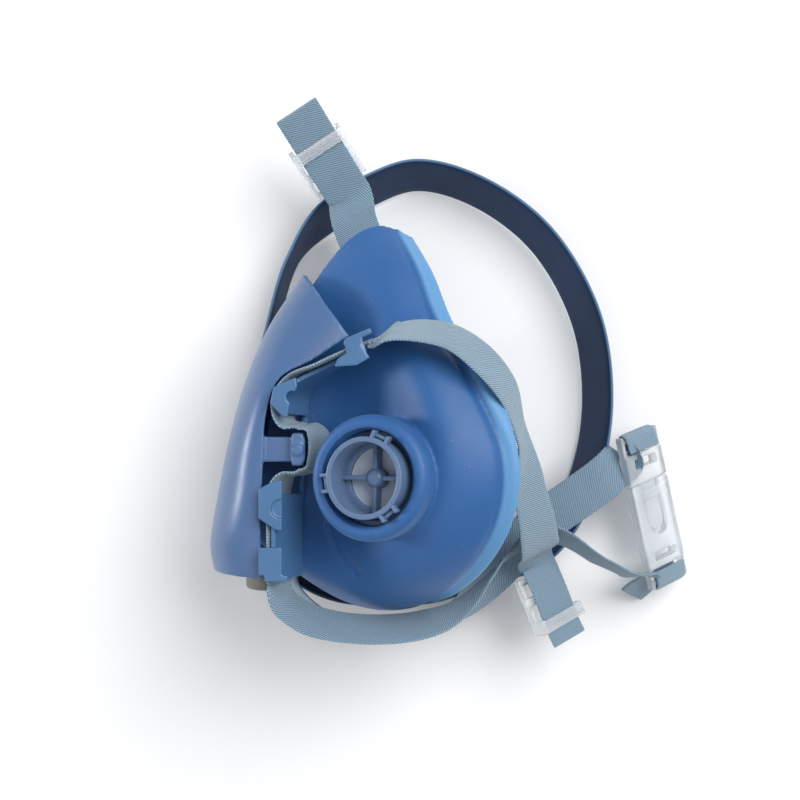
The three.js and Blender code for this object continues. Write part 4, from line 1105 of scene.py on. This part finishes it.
# ---------------------------------------------------------------- assembly
def build():
    """Makes every piece, puts it in the frame and says which body it rides on."""
    settle(facepiece(), silicone, "mask", "silicone", "facepiece")
    settle(front_cover(), cover_plastic, "mask", "cover_plastic", "front_cover")
    cup, seat, flap = exhalation_parts()
    settle(cup, rail_plastic, "mask", "rail_plastic", "centre_adapter")
    settle(seat, port_plastic, "mask", "port_plastic", "exhalation_valve_seat")
    settle(flap, valve_rubber, "exhalation_flap", "valve_rubber", "exhalation_flap")
    # painted reflection of the warm surface under the mask, below the cover
    settle(painted_warm_reflection(), warm_reflection_paint, "mask", "gasket_rubber")
    rail = harness_rail()
    sided = [("harness_rail", rail, rail_plastic, "rail_plastic"),
             ("inhalation_port", port(), port_plastic, "port_plastic"),
             ("inhalation_flap", inhalation_flap(), valve_rubber, "valve_rubber"),
             ("port_gasket", gasket(), gasket_rubber, "gasket_rubber")]
    for name, left, material, slot in sided:
        right = mirror_copy(left, f"{name}_right_look")
        left.name = f"{name}_left_look"
        for side, piece in (("left", left), ("right", right)):
            body = f"{name}_{side}" if name == "inhalation_flap" else "mask"
            settle(piece, material, body, slot, f"{name}_{side}")
    build_harness()


def build_harness():
    """The cradle, straps, adjusters and buckle."""
    settle(head_cradle(), cradle_band, "mask", "cradle_band", "head_cradle")
    for which, place in (("upper", UPPER_ADJUSTER), ("lower", LOWER_ADJUSTER)):
        body = f"adjuster_{which}"
        settle(adjuster(f"slider_{which}", place), clear_plastic, body, "clear_plastic", body)
    settle(buckle_hook(), clear_plastic, "buckle_hook", "clear_plastic", "buckle_hook")
    settle(buckle_socket(), clear_plastic, "mask", "clear_plastic", "buckle_socket")
    straps = [
        (webbing_strip("strap_rail_left", RAIL_STOPS, 240), ["webbing_rail_run_left"]),
        (webbing_strip("strap_rail_right", mirrored_stops(RAIL_STOPS), 240), ["webbing_rail_run_right"]),
        (webbing_strip("strap_lower_left", [RAIL_STOPS[-1], *LEFT_LOWER], 300), ["webbing_lower_run_left"]),
        (webbing_strip("neck_tail", NECK_TAIL, 24, 17.5), []),
        (webbing_strip("neck_fold_left", bar_loop_stops(BUCKLE_LENGTH), 60, 17.5),
         ["webbing_neck_fold_left"]),
        (webbing_strip(
            "strap_lower_right", [*mirrored_stops(RAIL_STOPS[-1:]), *RIGHT_LOWER, RIGHT_NECK[0]], 260),
         ["webbing_lower_run_right"])]
    for piece, nodes in straps:
        settle(piece, webbing, "mask", "webbing", *nodes)
    fold = webbing_strip("neck_fold_right", bar_loop_stops(0), 60, 17.5)
    settle(fold, webbing, "buckle_hook", "webbing", "webbing_neck_fold_right")
    crossing = [("left", LEFT_UPPER, LOWER_ADJUSTER, "lower"), ("right", RIGHT_UPPER, UPPER_ADJUSTER, "upper")]
    for side, stops, place, which in crossing:
        strip = adjusted_strap(f"strap_upper_{side}", stops, place, place["tail"])
        settle(strip, webbing, None, "webbing", f"webbing_upper_run_{side}", f"webbing_tail_{side}")
        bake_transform(strip)
    hook_under = bar_loop_stops(0)[0]
    neck = webbing_strip("strap_neck_right", [*RIGHT_NECK, hook_under], 90, 18.5)
    settle(neck, webbing, None, "webbing")
    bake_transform(neck)


# ---------------------------------------------------------------- studio
CAMERA_HEIGHT = 595                 # above the mask's mid-plane
FLOOR_SIZE = 6


def light(name, place, size, power):
    """A square soft light at place, pointing at the mask."""
    lamp = bpy.data.lights.new(name, "AREA")
    lamp.size = size
    lamp.energy = power
    holder = bpy.data.objects.new(name, lamp)
    bpy.context.scene.collection.objects.link(holder)
    holder.location = place
    holder.rotation_euler = (Vector(in_frame((0, 0, 0))) - Vector(place)).to_track_quat("-Z", "Y").to_euler()


def studio():
    """A pale floor, soft light from the upper right, and the camera straight above."""
    bpy.context.scene.view_settings.view_transform = "Standard"
    bpy.ops.mesh.primitive_plane_add(size=FLOOR_SIZE, location=(0, 0, 0))
    floor = bpy.context.object
    floor.name = "floor"
    material, _, _, _ = shader("floor", (0.93, 0.93, 0.93), 0.9)
    floor.data.materials.append(material)
    world = bpy.data.worlds.new("studio")
    world.use_nodes = True
    world.node_tree.nodes["Background"].inputs["Color"].default_value = (0.95, 0.97, 1.0, 1)
    world.node_tree.nodes["Background"].inputs["Strength"].default_value = 0.42
    bpy.context.scene.world = world
    light("key", (0.50, 0.45, 1.05), 0.9, 14.8)
    light("side", (-0.80, 0.05, 0.22), 0.16, 2.2)
    light("fill", (-0.4, -0.5, 0.9), 0.9, 1.4)
    camera = bpy.data.cameras.new("camera")
    camera.lens = 66.9375
    camera.sensor_width = 36
    holder = bpy.data.objects.new("camera", camera)
    bpy.context.scene.collection.objects.link(holder)
    holder.location = in_frame((0, 0, CAMERA_HEIGHT))
    bpy.context.scene.camera = holder


build()
studio()
